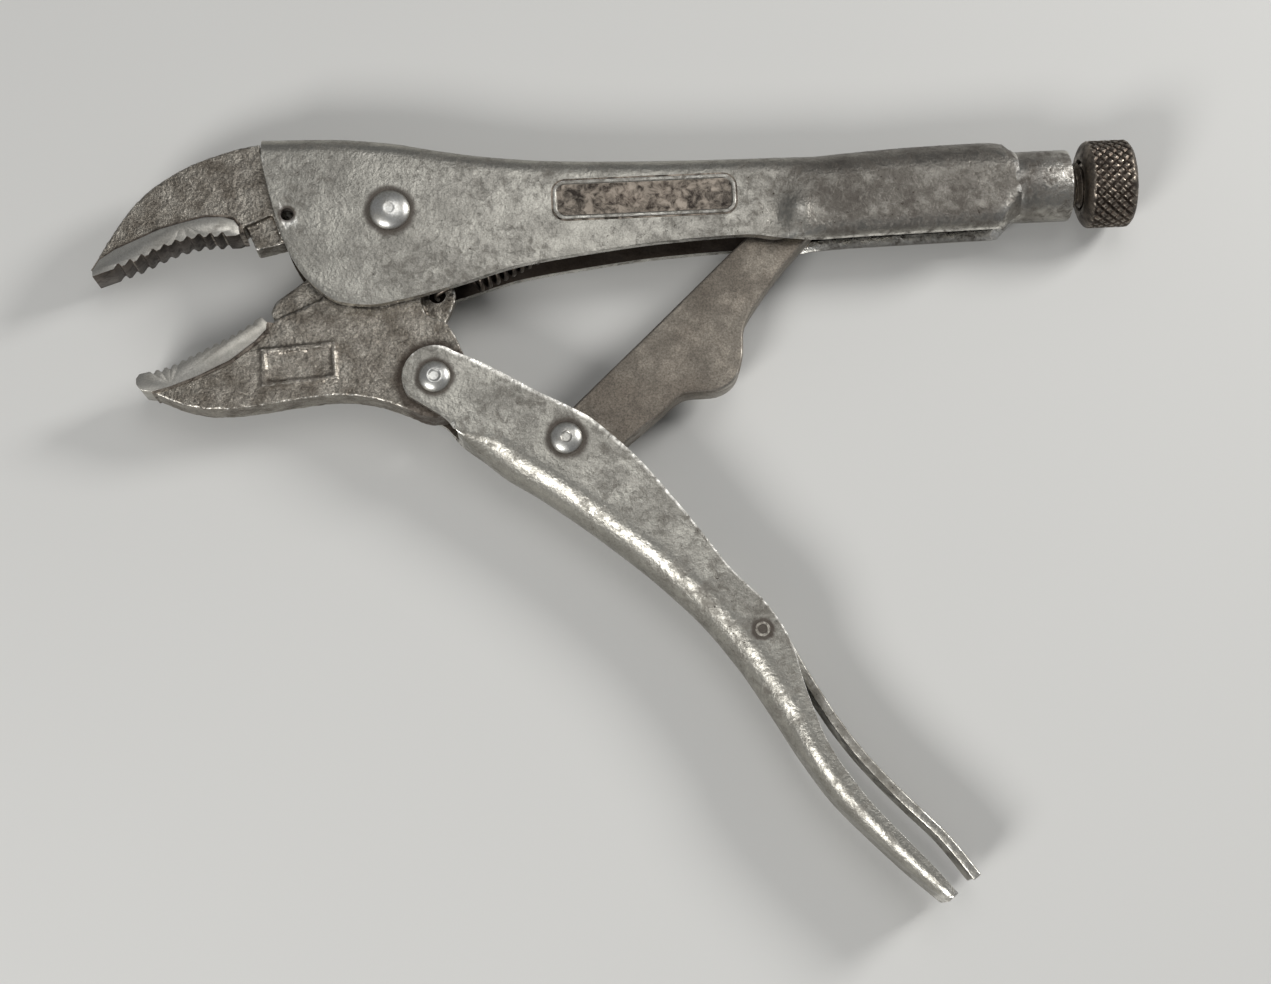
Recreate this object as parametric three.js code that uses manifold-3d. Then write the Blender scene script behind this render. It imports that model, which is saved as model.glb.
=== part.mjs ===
// Locking pliers with curved jaws, shown with the jaws open. All sizes are in millimetres.
// The part is drawn about its jaw pivot: X runs back along the adjusting screw, Y runs up from
// the open side of the upper handle to its spine, and Z is the pivot direction, zero at mid-width.
import * as THREE from "three";
import { mergeVertices } from "three/addons/utils/BufferGeometryUtils.js";
import Module from "manifold-3d";

const wasm = await Module();
wasm.setup();

// ---- Overall sizes ----
const HANDLE_WIDTH = 15.6;
const SHEET = 2.4;
const SIDE_PLAY = 0.3;
const FIT_GAP = 0.3;
const HALF_WIDTH = HANDLE_WIDTH / 2;

// ---- Pivots ----
const JAW_PIVOT = [0, 0];
const HANDLE_PIVOT = [9.2, -41.5];
const LINK_PIVOT = [39.6, -57.8];
const LEVER_PIVOT = [83.0, -105.3];
const JAW_RIVET_RADIUS = 3.6;
const JAW_RIVET_HEAD = 4.9;
const JAW_RIVET_DOME = 2.0;
const SMALL_RIVET_RADIUS = 2.7;
const SMALL_RIVET_HEAD = 3.8;
const SMALL_RIVET_DOME = 1.7;
const LEVER_PIN_RADIUS = 1.9;
const LEVER_PIN_BORE = 0.95;
const LEVER_PIN_INSET = 0.2;

// ---- Adjusting screw and knob ----
const SCREW_AXIS_Y = 1.3;
const SCREW_RADIUS = 5.55;
const SCREW_START = 114.8;
const SCREW_TIP_RADIUS = 3.6;
const KNOB_START = 168.3;
const KNURL_START = 170.3;
const KNOB_END = 180.9;
const KNOB_RADIUS = 10.7;
const KNOB_CHAMFER = 1.4;
const HUB_RADIUS = 8.4;
const SOCKET_DEPTH = 6.0;

// ---- Upper handle ----
const UPPER_CORNER = 4.5;
const SCREW_SIDE_PLAY = 0.55;
const REAR_WIDTH = 2 * (SCREW_RADIUS + SCREW_SIDE_PLAY + SHEET);
const REAR_FLAT = 1.0;
const REAR_CORNER = (REAR_WIDTH - REAR_FLAT) / 2;
const BULGE_START = 92;
const BULGE_END = 106;
const BODY_END = 154;
const SHOULDER_START = 145.5;
const SHOULDER_RADIUS = 14.4;
const TUBE_START = 149;
const TUBE_END = 165.4;
const TUBE_WALL = 2.85;
const SCREW_BORE = SCREW_RADIUS + FIT_GAP;
const TUBE_RADIUS = SCREW_BORE + TUBE_WALL;
const BORE_RUN = 12;
const PLUG_HOLE = [-24.5, 0.1];
const PLUG_HOLE_RADIUS = 1.6;
const SPRING_TAB = [64, 4.2];
const SPRING_TAB_WIDTH = 6;
const SPRING_TAB_THICKNESS = 1.6;

// ---- Lower handle ----
const LOWER_ANGLE = THREE.MathUtils.degToRad(-48.6);
const LOWER_CORNER = 6.6;
const LOWER_START = 13.4;
const LOWER_END = 170.6;
const TAIL_CORNER = 2.6;
const LUG_RADIUS = 7.7;

// ---- Jaws and toggle ----
const JAW_THICKNESS = HANDLE_WIDTH - 2 * (SHEET + SIDE_PLAY);
const JAW_STEP = 0.3;
const FORGING_THICKNESS = JAW_THICKNESS - 2 * JAW_STEP;
const JAW_TOP_PLAY = 1.3;
const CUTTER_THICKNESS = 7.0;
const UPPER_TOOTH_COUNT = 10;
const UPPER_TOOTH_DEPTH = 0.9;
const LOWER_TOOTH_COUNT = 13;
const LOWER_TOOTH_DEPTH = 0.7;
const JAW_LUG_RADIUS = 9.4;
const JAW_HEEL_RADIUS = 9.2;
const JAW_BOSS_INSET = 0.6;
const HANDLE_BOSS_RADIUS = 8.4;
const SPRING_EYE = [10.3, -19.8];
const SPRING_EYE_RADIUS = 2.1;
const SPRING_EYE_THICKNESS = 3.0;
const LINK_THICKNESS = 8.0;
const LINK_END_RADIUS = 6.0;
const FOOT = [103.3, 1.2];
const FOOT_RADIUS = 5.2;

// ---- Release lever ----
const LEVER_SHEET = 2.2;
const LEVER_PLAY = 0.6;
const LEVER_WIDTH = HANDLE_WIDTH - 2 * (SHEET + LEVER_PLAY);
const LEVER_EAR_RADIUS = 3.7;

// ---- Return spring ----
const WIRE_RADIUS = 0.55;
const COIL_RADIUS = 3.1;
const COIL_COUNT = 13;
const COIL_START = [18.5, -16.4];
const COIL_END = [55.5, 0.6];

// ---- Small helpers ----

// Height at x on a smooth line through the given points, which run in rising x.
function heightAt(points, x) {
  const last = points.length - 1;
  let i = 0;
  while (i < last - 1 && x > points[i + 1][0]) i += 1;
  const slope = (a, b) => (b[1] - a[1]) / (b[0] - a[0]);
  const span = points[i + 1][0] - points[i][0];
  const here = slope(points[i], points[i + 1]);
  const before = i > 0 ? slope(points[i - 1], points[i]) : here;
  const after = i < last - 1 ? slope(points[i + 1], points[i + 2]) : here;
  const startSlope = before * here > 0 ? (2 * before * here) / (before + here) : 0;
  const endSlope = after * here > 0 ? (2 * after * here) / (after + here) : 0;
  const t = THREE.MathUtils.clamp((x - points[i][0]) / span, 0, 1);
  const a = (1 + 2 * t) * (1 - t) ** 2 * points[i][1];
  const b = t * (1 - t) ** 2 * span * startSlope;
  const c = t * t * (3 - 2 * t) * points[i + 1][1];
  const d = t * t * (t - 1) * span * endSlope;
  return a + b + c + d;
}

// Points of a smooth curve through the given points.
function smooth(points, steps) {
  const curve = new THREE.SplineCurve(points.map(([x, y]) => new THREE.Vector2(x, y)));
  return curve.getPoints(steps).map((p) => [p.x, p.y]);
}

// Points of an arc about a centre, from one angle to another in degrees.
function arc([x, y], radius, from, to, steps) {
  const points = [];
  for (let i = 0; i <= steps; i += 1) {
    const angle = THREE.MathUtils.degToRad(from + ((to - from) * i) / steps);
    points.push([x + radius * Math.cos(angle), y + radius * Math.sin(angle)]);
  }
  return points;
}

// Evenly spaced values, closer together at the start when ease is above 1.
function spread(from, to, steps, ease = 1) {
  return Array.from({ length: steps + 1 }, (_, i) => from + (to - from) * (i / steps) ** ease);
}

function shapeOf(points) {
  return new THREE.Shape(points.map(([x, y]) => new THREE.Vector2(x, y)));
}

// Flat piece with the given outline, centred on z.
function plate(points, thickness, z = 0) {
  const geometry = new THREE.ExtrudeGeometry(shapeOf(points), {
    depth: thickness,
    bevelEnabled: false,
  });
  return geometry.translate(0, 0, z - thickness / 2);
}

// Straight round bar along Z through a point.
function bar([x, y], radius, length, segments = 24) {
  const geometry = new THREE.CylinderGeometry(radius, radius, length, segments);
  return geometry.rotateX(Math.PI / 2).translate(x, y, 0);
}

// Turned piece about the screw axis; the profile is [x, radius] and starts and ends on the axis or closes.
function turned(profile, segments) {
  const points = profile.map(([x, radius]) => new THREE.Vector2(radius, x));
  const geometry = new THREE.LatheGeometry(points, segments);
  return geometry.rotateZ(-Math.PI / 2).translate(0, SCREW_AXIS_Y, 0);
}

function solid(geometry) {
  const bare = new THREE.BufferGeometry();
  bare.setAttribute("position", geometry.getAttribute("position").clone());
  bare.setIndex(geometry.index);
  const welded = mergeVertices(bare, 1e-4);
  const faces = [];
  const index = welded.index.array;
  for (let i = 0; i < index.length; i += 3) {
    const [a, b, c] = [index[i], index[i + 1], index[i + 2]];
    if (a !== b && b !== c && a !== c) faces.push(a, b, c);
  }
  return new wasm.Manifold(
    new wasm.Mesh({
      numProp: 3,
      vertProperties: new Float32Array(welded.attributes.position.array),
      triVerts: new Uint32Array(outward(faces, welded.attributes.position.array)),
    }),
  );
}

// Face list turned so that the faces look outwards.
function outward(faces, positions) {
  let volume = 0;
  const corner = (i) => new THREE.Vector3().fromArray(positions, 3 * i);
  for (let i = 0; i < faces.length; i += 3) {
    const normal = corner(faces[i + 1]).cross(corner(faces[i + 2]));
    volume += corner(faces[i]).dot(normal);
  }
  return volume > 0 ? faces : faces.slice().reverse();
}

function joined(...geometries) {
  return geometries.map(solid).reduce((whole, piece) => whole.add(piece));
}

function without(whole, ...geometries) {
  return geometries.map(solid).reduce((rest, piece) => rest.subtract(piece), whole);
}

function geometryOf(manifold) {
  const mesh = manifold.getMesh();
  const geometry = new THREE.BufferGeometry();
  geometry.setAttribute("position", new THREE.BufferAttribute(mesh.vertProperties, 3));
  geometry.setIndex(new THREE.BufferAttribute(mesh.triVerts, 1));
  return geometry;
}

// Sheet-metal channel along X. Each section is a rounded U from one free edge over the spine to the other.
function channel(stations, spineAt, edgeAt, halfWidthAt, cornerAt) {
  const cornerSteps = 3;
  const positions = [];
  const rowLength = 2 * (cornerSteps + 2);
  for (const x of stations) {
    const direction = Math.sign(edgeAt(x) - spineAt(x));
    const depth = Math.abs(edgeAt(x) - spineAt(x));
    for (const inset of [0, SHEET]) {
      const half = halfWidthAt(x) - inset;
      const corner = Math.max(cornerAt(x) - inset, 0.5);
      const row = [[depth, half]];
      for (let i = 0; i <= cornerSteps; i += 1) {
        const angle = ((Math.PI / 2) * i) / cornerSteps;
        row.push([
          inset + corner * (1 - Math.sin(angle)),
          half - corner * (1 - Math.cos(angle)),
        ]);
      }
      const mirrored = row.map(([d, z]) => [d, -z]).reverse();
      for (const [d, z] of [...row, ...mirrored]) {
        positions.push(x, spineAt(x) + direction * d, z);
      }
    }
  }
  const faces = [];
  const at = (station, side, i) => (station * 2 + side) * rowLength + i;
  const quad = (a, b, c, d) => faces.push(a, b, c, a, c, d);
  const last = stations.length - 1;
  for (let s = 0; s < last; s += 1) {
    for (let i = 0; i < rowLength - 1; i += 1) {
      quad(at(s, 0, i), at(s, 0, i + 1), at(s + 1, 0, i + 1), at(s + 1, 0, i));
      quad(at(s, 1, i), at(s + 1, 1, i), at(s + 1, 1, i + 1), at(s, 1, i + 1));
    }
    quad(at(s, 0, 0), at(s + 1, 0, 0), at(s + 1, 1, 0), at(s, 1, 0));
    const end = rowLength - 1;
    quad(at(s, 1, end), at(s + 1, 1, end), at(s + 1, 0, end), at(s, 0, end));
  }
  for (let i = 0; i < rowLength - 1; i += 1) {
    quad(at(0, 0, i), at(0, 1, i), at(0, 1, i + 1), at(0, 0, i + 1));
    quad(at(last, 0, i + 1), at(last, 1, i + 1), at(last, 1, i), at(last, 0, i));
  }
  const geometry = new THREE.BufferGeometry();
  geometry.setAttribute("position", new THREE.BufferAttribute(new Float32Array(positions), 3));
  geometry.setIndex(faces);
  return geometry;
}

// ---- Upper handle ----

const UPPER_SPINE = [
  [-30.4, 20.1], [-14, 19.6], [0, 18.1], [12, 15.6], [24, 13.5], [40, 11.8],
  [66, 10.7], [92, 10.3], [110, 11.4], [128, 12.3], [145, 12.6], [BODY_END, 11.2],
];

const UPPER_EDGE = [
  [-30.4, 14], [-29.7, 10.5], [-28, 2.6], [-24.6, -8.7], [-19.2, -17.2], [-12.5, -22.2],
  [-5, -23.2], [1.7, -22.3], [16.1, -18.9], [30.6, -14.9], [45, -12.8], [66.7, -10.6],
  [84.8, -9.9], [97, -11.3], [112, -10.8], [BODY_END, -10.2],
];

function upperHandle() {
  const stations = [
    ...spread(-30.4, 40, 16, 1.5),
    ...spread(40, 88, 4).slice(1),
    ...spread(88, 110, 5).slice(1),
    ...spread(110, SHOULDER_START, 3).slice(1),
    ...spread(SHOULDER_START, BODY_END, 3).slice(1),
  ];
  const bulge = (x) => THREE.MathUtils.smoothstep(x, BULGE_START, BULGE_END);
  const halfWidthAt = (x) => THREE.MathUtils.lerp(HALF_WIDTH, REAR_WIDTH / 2, bulge(x));
  const cornerAt = (x) => THREE.MathUtils.lerp(UPPER_CORNER, REAR_CORNER, bulge(x));
  const body = channel(
    stations,
    (x) => heightAt(UPPER_SPINE, x),
    (x) => heightAt(UPPER_EDGE, x),
    halfWidthAt,
    cornerAt,
  );
  const shoulder = turned(
    [
      [-40, 0],
      [-40, 40],
      [SHOULDER_START - 20, 40],
      [SHOULDER_START, SHOULDER_RADIUS],
      [BODY_END - 1, TUBE_RADIUS],
      [BODY_END + 1, TUBE_RADIUS],
      [BODY_END + 1, 0],
    ],
    32,
  );
  const tube = turned(
    [
      [TUBE_START, SCREW_BORE],
      [TUBE_START, TUBE_RADIUS - 0.8],
      [TUBE_START + 2, TUBE_RADIUS],
      [TUBE_END - 0.5, TUBE_RADIUS],
      [TUBE_END, TUBE_RADIUS - 0.5],
      [TUBE_END, SCREW_BORE],
      [TUBE_START, SCREW_BORE],
    ],
    32,
  );
  const [tabX, tabY] = SPRING_TAB;
  const tabTop = heightAt(UPPER_SPINE, tabX) - SHEET / 2;
  const tab = plate(
    [
      [tabX - SPRING_TAB_WIDTH / 2, tabTop],
      [tabX - SPRING_TAB_WIDTH / 2, tabY],
      ...arc(SPRING_TAB, SPRING_TAB_WIDTH / 2, 180, 360, 8),
      [tabX + SPRING_TAB_WIDTH / 2, tabTop],
    ],
    SPRING_TAB_THICKNESS,
  );
  const whole = solid(body).intersect(solid(shoulder)).add(solid(tube)).add(solid(tab));
  const boreCut = turned(
    [
      [BODY_END - BORE_RUN, 0],
      [BODY_END - BORE_RUN, SCREW_BORE],
      [TUBE_END + 1, SCREW_BORE],
      [TUBE_END + 1, 0],
    ],
    32,
  );
  return without(
    whole,
    boreCut,
    bar(JAW_PIVOT, JAW_RIVET_RADIUS + FIT_GAP, REAR_WIDTH + 2),
    bar(PLUG_HOLE, PLUG_HOLE_RADIUS, REAR_WIDTH + 2, 16),
    bar(SPRING_TAB, WIRE_RADIUS + 0.7, SPRING_TAB_THICKNESS + 2, 12),
  );
}

// ---- Jaws ----

// Row of teeth cut into a smooth line, with a plain land at each end. A negative depth cuts upwards.
function teeth(line, [from, to], count, depth) {
  const pitch = (to - from) / count;
  const points = [line[0]];
  for (let i = 0; i < count; i += 1) {
    const x = from + i * pitch;
    points.push([x, heightAt(line, x)]);
    const valley = x + 0.6 * pitch;
    points.push([valley, heightAt(line, valley) - depth]);
  }
  points.push([to, heightAt(line, to)]);
  points.push(line[line.length - 1]);
  return points;
}

const UPPER_TOOTH_LINE = [
  [-71.4, -12.6], [-65.8, -10.8], [-61.3, -9.3], [-56, -6.9], [-50.1, -4.8], [-45, -4.0], [-37.2, -4.0],
];
const UPPER_TOOTH_SPAN = [-67.2, -39.4];

function upperJaw() {
  const underSpine = (x) => heightAt(UPPER_SPINE, x) - SHEET - JAW_TOP_PLAY;
  const forging = plate(
    [
      [-70.6, -11.5],
      ...smooth(
        [[-70.9, -9.3], [-66, -1.2], [-59.5, 6.9], [-50, 13.4], [-39.1, 17.4], [-31, 19]],
        14,
      ),
      [-30.9, underSpine(-30.9)],
      [-10, underSpine(-10)],
      ...arc(JAW_PIVOT, JAW_LUG_RADIUS + JAW_BOSS_INSET, 115, 170, 6),
      [-11.4, 0.6],
      [-15.2, -2.2],
      [-26.4, -5.2],
      [-28.4, 1.1],
      [-34.8, -1.4],
      [-36.4, -3.2],
      [-50, -2.6],
      [-62, -7.6],
    ],
    FORGING_THICKNESS,
  );
  const toothStrip = plate(
    [
      ...teeth(UPPER_TOOTH_LINE, UPPER_TOOTH_SPAN, UPPER_TOOTH_COUNT, -UPPER_TOOTH_DEPTH),
      [-36, -3.1],
      [-37.8, -0.8],
      [-40.4, 0.7],
      [-44.7, 0.9],
      [-50, 0],
      [-55.4, -1.4],
      [-60.7, -3.7],
      [-66.1, -6],
      [-69.8, -8.4],
      [-71.5, -11],
    ],
    JAW_THICKNESS,
  );
  const cutter = plate(
    [[-34.8, -0.9], [-28, 1.9], [-25.2, -5.2], [-25.6, -5.9], [-32.5, -7.3]],
    CUTTER_THICKNESS,
  );
  const whole = joined(forging, toothStrip, cutter);
  return without(whole, bar(PLUG_HOLE, PLUG_HOLE_RADIUS, JAW_THICKNESS + 2, 16));
}

const LOWER_TOOTH_LINE = [
  [-60.6, -36.9], [-54.3, -35.6], [-48.9, -33.3], [-43.4, -30.7], [-37.9, -28], [-31.6, -24.2],
];
const LOWER_TOOTH_SPAN = [-58.6, -33];

function lowerJaw() {
  const forging = plate(
    [
      ...smooth(
        [[-58.6, -41], [-49.1, -45.2], [-38.3, -46.3], [-16.6, -44.2], [-5.8, -45.3], [3, -48.6]],
        14,
      ),
      ...arc(HANDLE_PIVOT, JAW_HEEL_RADIUS, 245, 400, 10),
      [14.2, -30.6],
      [12.4, -27.5],
      [7.6, -25.5],
      [6.4, -22],
      [8.2, -12],
      ...arc(JAW_PIVOT, JAW_LUG_RADIUS, -20, 200, 18),
      [-13.6, -13],
      [-17.1, -20.5],
      [-28.2, -25],
      [-30, -26.5],
      [-33, -30],
      [-47, -37],
      [-56, -40],
    ],
    FORGING_THICKNESS,
  );
  const toothStrip = plate(
    [
      ...teeth(LOWER_TOOTH_LINE, LOWER_TOOTH_SPAN, LOWER_TOOTH_COUNT, LOWER_TOOTH_DEPTH),
      [-30.6, -26.2],
      [-32.5, -29.4],
      [-38, -33.1],
      [-48.9, -38.2],
      [-57.7, -41.2],
      [-60.2, -40.9],
      [-61.4, -39.4],
      [-61.4, -38],
    ],
    JAW_THICKNESS,
  );
  const jawBoss = bar(JAW_PIVOT, JAW_LUG_RADIUS - JAW_BOSS_INSET, JAW_THICKNESS, 32);
  const handleBoss = bar(HANDLE_PIVOT, HANDLE_BOSS_RADIUS, JAW_THICKNESS, 32);
  const cutter = plate(
    [[-28.2, -26], [-29.4, -22.6], [-28.1, -20.2], [-21.6, -15.7], [-12, -10], [-14, -19]],
    CUTTER_THICKNESS,
  );
  const eye = plate(
    [
      [4, -28],
      [12, -27],
      [13.4, -24.4],
      [14.7, -21.4],
      ...arc(SPRING_EYE, 4.4, -20, 120, 8),
      [2, -14],
    ],
    SPRING_EYE_THICKNESS,
  );
  return without(
    joined(forging, toothStrip, jawBoss, handleBoss, cutter, eye),
    bar(JAW_PIVOT, JAW_RIVET_RADIUS + FIT_GAP, HANDLE_WIDTH),
    bar(HANDLE_PIVOT, SMALL_RIVET_RADIUS + FIT_GAP, HANDLE_WIDTH),
    bar(SPRING_EYE, SPRING_EYE_RADIUS, HANDLE_WIDTH, 16),
  );
}

// ---- Lower handle ----

// The lower handle and its lever are drawn along their own length, from the handle pivot.
function alongLowerHandle(geometry) {
  return geometry.rotateZ(LOWER_ANGLE).translate(...HANDLE_PIVOT, 0);
}

function inLowerHandle([x, y]) {
  const point = new THREE.Vector2(x - HANDLE_PIVOT[0], y - HANDLE_PIVOT[1]);
  point.rotateAround(new THREE.Vector2(), -LOWER_ANGLE);
  return [point.x, point.y];
}

const LOWER_SPINE = [
  [LOWER_START, -5.4], [26.4, -4.3], [37.2, -1.6], [54.2, 1.7], [72.7, 4.1], [84.8, 4.7],
  [99.8, 3.5], [107.7, 2.1], [124.2, -1.0], [138.9, -2.7], [157.7, -2.0], [LOWER_END, -0.6],
];

const LOWER_EDGE = [
  [LOWER_START, 13.2], [19.7, 15.1], [27.6, 18], [34, 19.8], [48, 20.8], [60.9, 20.1],
  [71.9, 19.0], [82.7, 17.9], [90.9, 18.2], [98, 17.4], [104, 15.6], [111.9, 11.4],
  [117.4, 8.8], [125.2, 5.6], [132.7, 3.9], [145.5, 2.6], [162.6, 2.6], [LOWER_END, 2.2],
];

function lowerHandle() {
  const stations = [
    ...spread(LOWER_START, 100, 13),
    ...spread(100, 134, 7).slice(1),
    ...spread(134, LOWER_END, 6).slice(1),
  ];
  const spineAt = (x) => heightAt(LOWER_SPINE, x);
  const edgeAt = (x) => heightAt(LOWER_EDGE, x);
  const tailward = (x) => THREE.MathUtils.smoothstep(x, 105, 135);
  const body = channel(
    stations,
    spineAt,
    edgeAt,
    () => HALF_WIDTH,
    (x) => THREE.MathUtils.lerp(LOWER_CORNER, TAIL_CORNER, tailward(x)),
  );
  const wallOutline = [
    ...arc([0, 0], LUG_RADIUS, 100, 262, 14),
    [4, -6.3],
    [9.4, -4.8],
    [12, -5.1],
    [LOWER_START + 0.5, -5.1],
    [LOWER_START + 0.5, 3],
    [24, 3],
    [24, 15],
    [19.7, 14.6],
    [10.4, 12.2],
    [3.2, 9.6],
  ];
  const wallMiddle = HALF_WIDTH - SHEET / 2;
  const whole = joined(
    body,
    plate(wallOutline, SHEET, wallMiddle),
    plate(wallOutline, SHEET, -wallMiddle),
  );
  const drilled = without(
    whole,
    bar([0, 0], SMALL_RIVET_RADIUS + FIT_GAP, HANDLE_WIDTH + 2),
    bar(inLowerHandle(LINK_PIVOT), SMALL_RIVET_RADIUS + FIT_GAP, HANDLE_WIDTH + 2),
    bar(inLowerHandle(LEVER_PIVOT), LEVER_PIN_RADIUS + FIT_GAP, HANDLE_WIDTH + 2, 16),
  );
  return alongLowerHandle(geometryOf(drilled));
}

// ---- Release lever ----

// Strip of sheet, seen edge on, following a smooth line.
function ribbon(line, thickness, steps) {
  const curve = new THREE.SplineCurve(line.map(([x, y]) => new THREE.Vector2(x, y)));
  const sides = [[], []];
  for (let i = 0; i <= steps; i += 1) {
    const point = curve.getPoint(i / steps);
    const along = curve.getTangent(i / steps);
    const across = new THREE.Vector2(-along.y, along.x).multiplyScalar(thickness / 2);
    sides[0].push([point.x + across.x, point.y + across.y]);
    sides[1].unshift([point.x - across.x, point.y - across.y]);
  }
  return [...sides[0], ...sides[1]];
}

function releaseLever() {
  const pivot = inLowerHandle(LEVER_PIVOT);
  const strip = plate(
    ribbon(
      [
        [82.2, 12.6], [88, 15.3], [95, 16.2], [103, 15.1], [112, 12.8],
        [124, 10.3], [135, 9.1], [147, 9.0], [160, 9.4], [171.6, 8.3],
      ],
      LEVER_SHEET,
      26,
    ),
    LEVER_WIDTH,
  );
  const earMiddle = LEVER_WIDTH / 2 - LEVER_SHEET / 2;
  const earOutline = [
    ...arc(pivot, LEVER_EAR_RADIUS, 180, 360, 12),
    [pivot[0] + LEVER_EAR_RADIUS + 2.5, pivot[1] + 2.2],
    [pivot[0] - LEVER_EAR_RADIUS - 2.5, pivot[1] + 2.2],
  ];
  const whole = joined(
    strip,
    plate(earOutline, LEVER_SHEET, earMiddle),
    plate(earOutline, LEVER_SHEET, -earMiddle),
  );
  const drilled = without(whole, bar(pivot, LEVER_PIN_RADIUS + FIT_GAP, HANDLE_WIDTH, 16));
  return alongLowerHandle(geometryOf(drilled));
}

function releaseLeverPin() {
  const length = HANDLE_WIDTH - 2 * LEVER_PIN_INSET;
  const outer = solid(bar(LEVER_PIVOT, LEVER_PIN_RADIUS, length, 16));
  return without(outer, bar(LEVER_PIVOT, LEVER_PIN_BORE, length + 2, 12));
}

// ---- Toggle link ----

function toggleLink() {
  const outline = [
    ...arc(LINK_PIVOT, LINK_END_RADIUS, 140, 300, 10),
    [47.5, -63.4],
    [54.2, -58.5],
    ...smooth([[63.1, -51.5], [66.6, -48.6], [69.6, -47.5], [76.6, -47.1], [81, -44.2], [82.9, -38.5]], 10),
    ...smooth([[83.2, -33.5], [84.9, -29.1], [92.5, -18.9], [100.4, -10.5], [105.5, -5]], 8),
    ...arc(FOOT, FOOT_RADIUS, -20, 145, 10),
    [84.3, -10.4],
    [59.8, -32.9],
    [41.6, -49.4],
  ];
  return without(
    solid(plate(outline, LINK_THICKNESS)),
    bar(LINK_PIVOT, SMALL_RIVET_RADIUS + FIT_GAP, HANDLE_WIDTH),
  );
}

// ---- Rivets ----

// Rivet along Z with a domed head outside each wall.
function rivet([x, y], radius, headRadius, dome) {
  const seat = HALF_WIDTH + FIT_GAP;
  const head = arc([0, 0], 1, 0, 90, 4).map(([c, s]) => [headRadius * c, seat + dome * s]);
  const profile = [[radius, seat], ...head];
  const mirrored = profile.map(([r, z]) => [r, -z]).reverse();
  const points = [...mirrored, ...profile].map(([r, z]) => new THREE.Vector2(Math.max(r, 0), z));
  points[0].x = 0;
  points[points.length - 1].x = 0;
  return new THREE.LatheGeometry(points, 20).rotateX(Math.PI / 2).translate(x, y, 0);
}

// ---- Adjusting screw ----

function adjustingScrew() {
  return turned(
    [
      [SCREW_START, 0],
      [SCREW_START, SCREW_TIP_RADIUS],
      [SCREW_START + 2, SCREW_RADIUS],
      [KNURL_START + SOCKET_DEPTH - FIT_GAP, SCREW_RADIUS],
      [KNURL_START + SOCKET_DEPTH - FIT_GAP, 0],
    ],
    32,
  );
}

function adjustingKnob() {
  return turned(
    [
      [KNURL_START + SOCKET_DEPTH, 0],
      [KNURL_START + SOCKET_DEPTH, SCREW_BORE],
      [KNOB_START, SCREW_BORE],
      [KNOB_START, HUB_RADIUS],
      [KNURL_START - 0.8, KNOB_RADIUS - 0.6],
      [KNURL_START, KNOB_RADIUS],
      [KNOB_END - KNOB_CHAMFER, KNOB_RADIUS],
      [KNOB_END, KNOB_RADIUS - KNOB_CHAMFER],
      [KNOB_END, 0],
    ],
    40,
  );
}

// ---- Return spring ----

function returnSpring() {
  const start = new THREE.Vector3(...COIL_START, 0);
  const end = new THREE.Vector3(...COIL_END, 0);
  const along = end.clone().sub(start).normalize();
  const across = new THREE.Vector3(-along.y, along.x, 0);
  const sideways = new THREE.Vector3(0, 0, 1);
  const pointsPerCoil = 8;
  const path = [
    new THREE.Vector3(...SPRING_EYE, -2.6),
    new THREE.Vector3(...SPRING_EYE, 0),
    new THREE.Vector3(...SPRING_EYE, 2.4),
    new THREE.Vector3(SPRING_EYE[0] + 3.4, SPRING_EYE[1] + 1.4, COIL_RADIUS),
  ];
  for (let i = 0; i <= COIL_COUNT * pointsPerCoil; i += 1) {
    const turn = (2 * Math.PI * i) / pointsPerCoil;
    const fraction = i / (COIL_COUNT * pointsPerCoil);
    const point = start.clone().lerp(end, fraction);
    point.addScaledVector(sideways, COIL_RADIUS * Math.cos(turn));
    point.addScaledVector(across, COIL_RADIUS * Math.sin(turn));
    path.push(point);
  }
  path.push(
    new THREE.Vector3(SPRING_TAB[0] - 4.6, SPRING_TAB[1] - 1.6, COIL_RADIUS - 0.4),
    new THREE.Vector3(...SPRING_TAB, 2.2),
    new THREE.Vector3(...SPRING_TAB, 0),
    new THREE.Vector3(...SPRING_TAB, -2.2),
  );
  const wire = shapeOf(arc([0, 0], WIRE_RADIUS, 0, 288, 4));
  return new THREE.ExtrudeGeometry(wire, {
    steps: COIL_COUNT * pointsPerCoil + 18,
    extrudePath: new THREE.CatmullRomCurve3(path),
    bevelEnabled: false,
  });
}

// ---- Materials ----

const nickelSteel = () =>
  new THREE.MeshStandardMaterial({ color: 0x8d8c84, roughness: 0.42, metalness: 0.9 });
const forgedSteel = () =>
  new THREE.MeshStandardMaterial({ color: 0x77756c, roughness: 0.58, metalness: 0.85 });
const rivetSteel = () =>
  new THREE.MeshStandardMaterial({ color: 0xb4b3ac, roughness: 0.3, metalness: 0.95 });
const darkSteel = () =>
  new THREE.MeshStandardMaterial({ color: 0x4b4743, roughness: 0.5, metalness: 0.85 });

// ---- Assembly ----

const group = new THREE.Group();

function add(name, shape, material) {
  const geometry = shape.isBufferGeometry ? shape : geometryOf(shape);
  const mesh = new THREE.Mesh(geometry, material);
  mesh.name = name;
  group.add(mesh);
}

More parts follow.
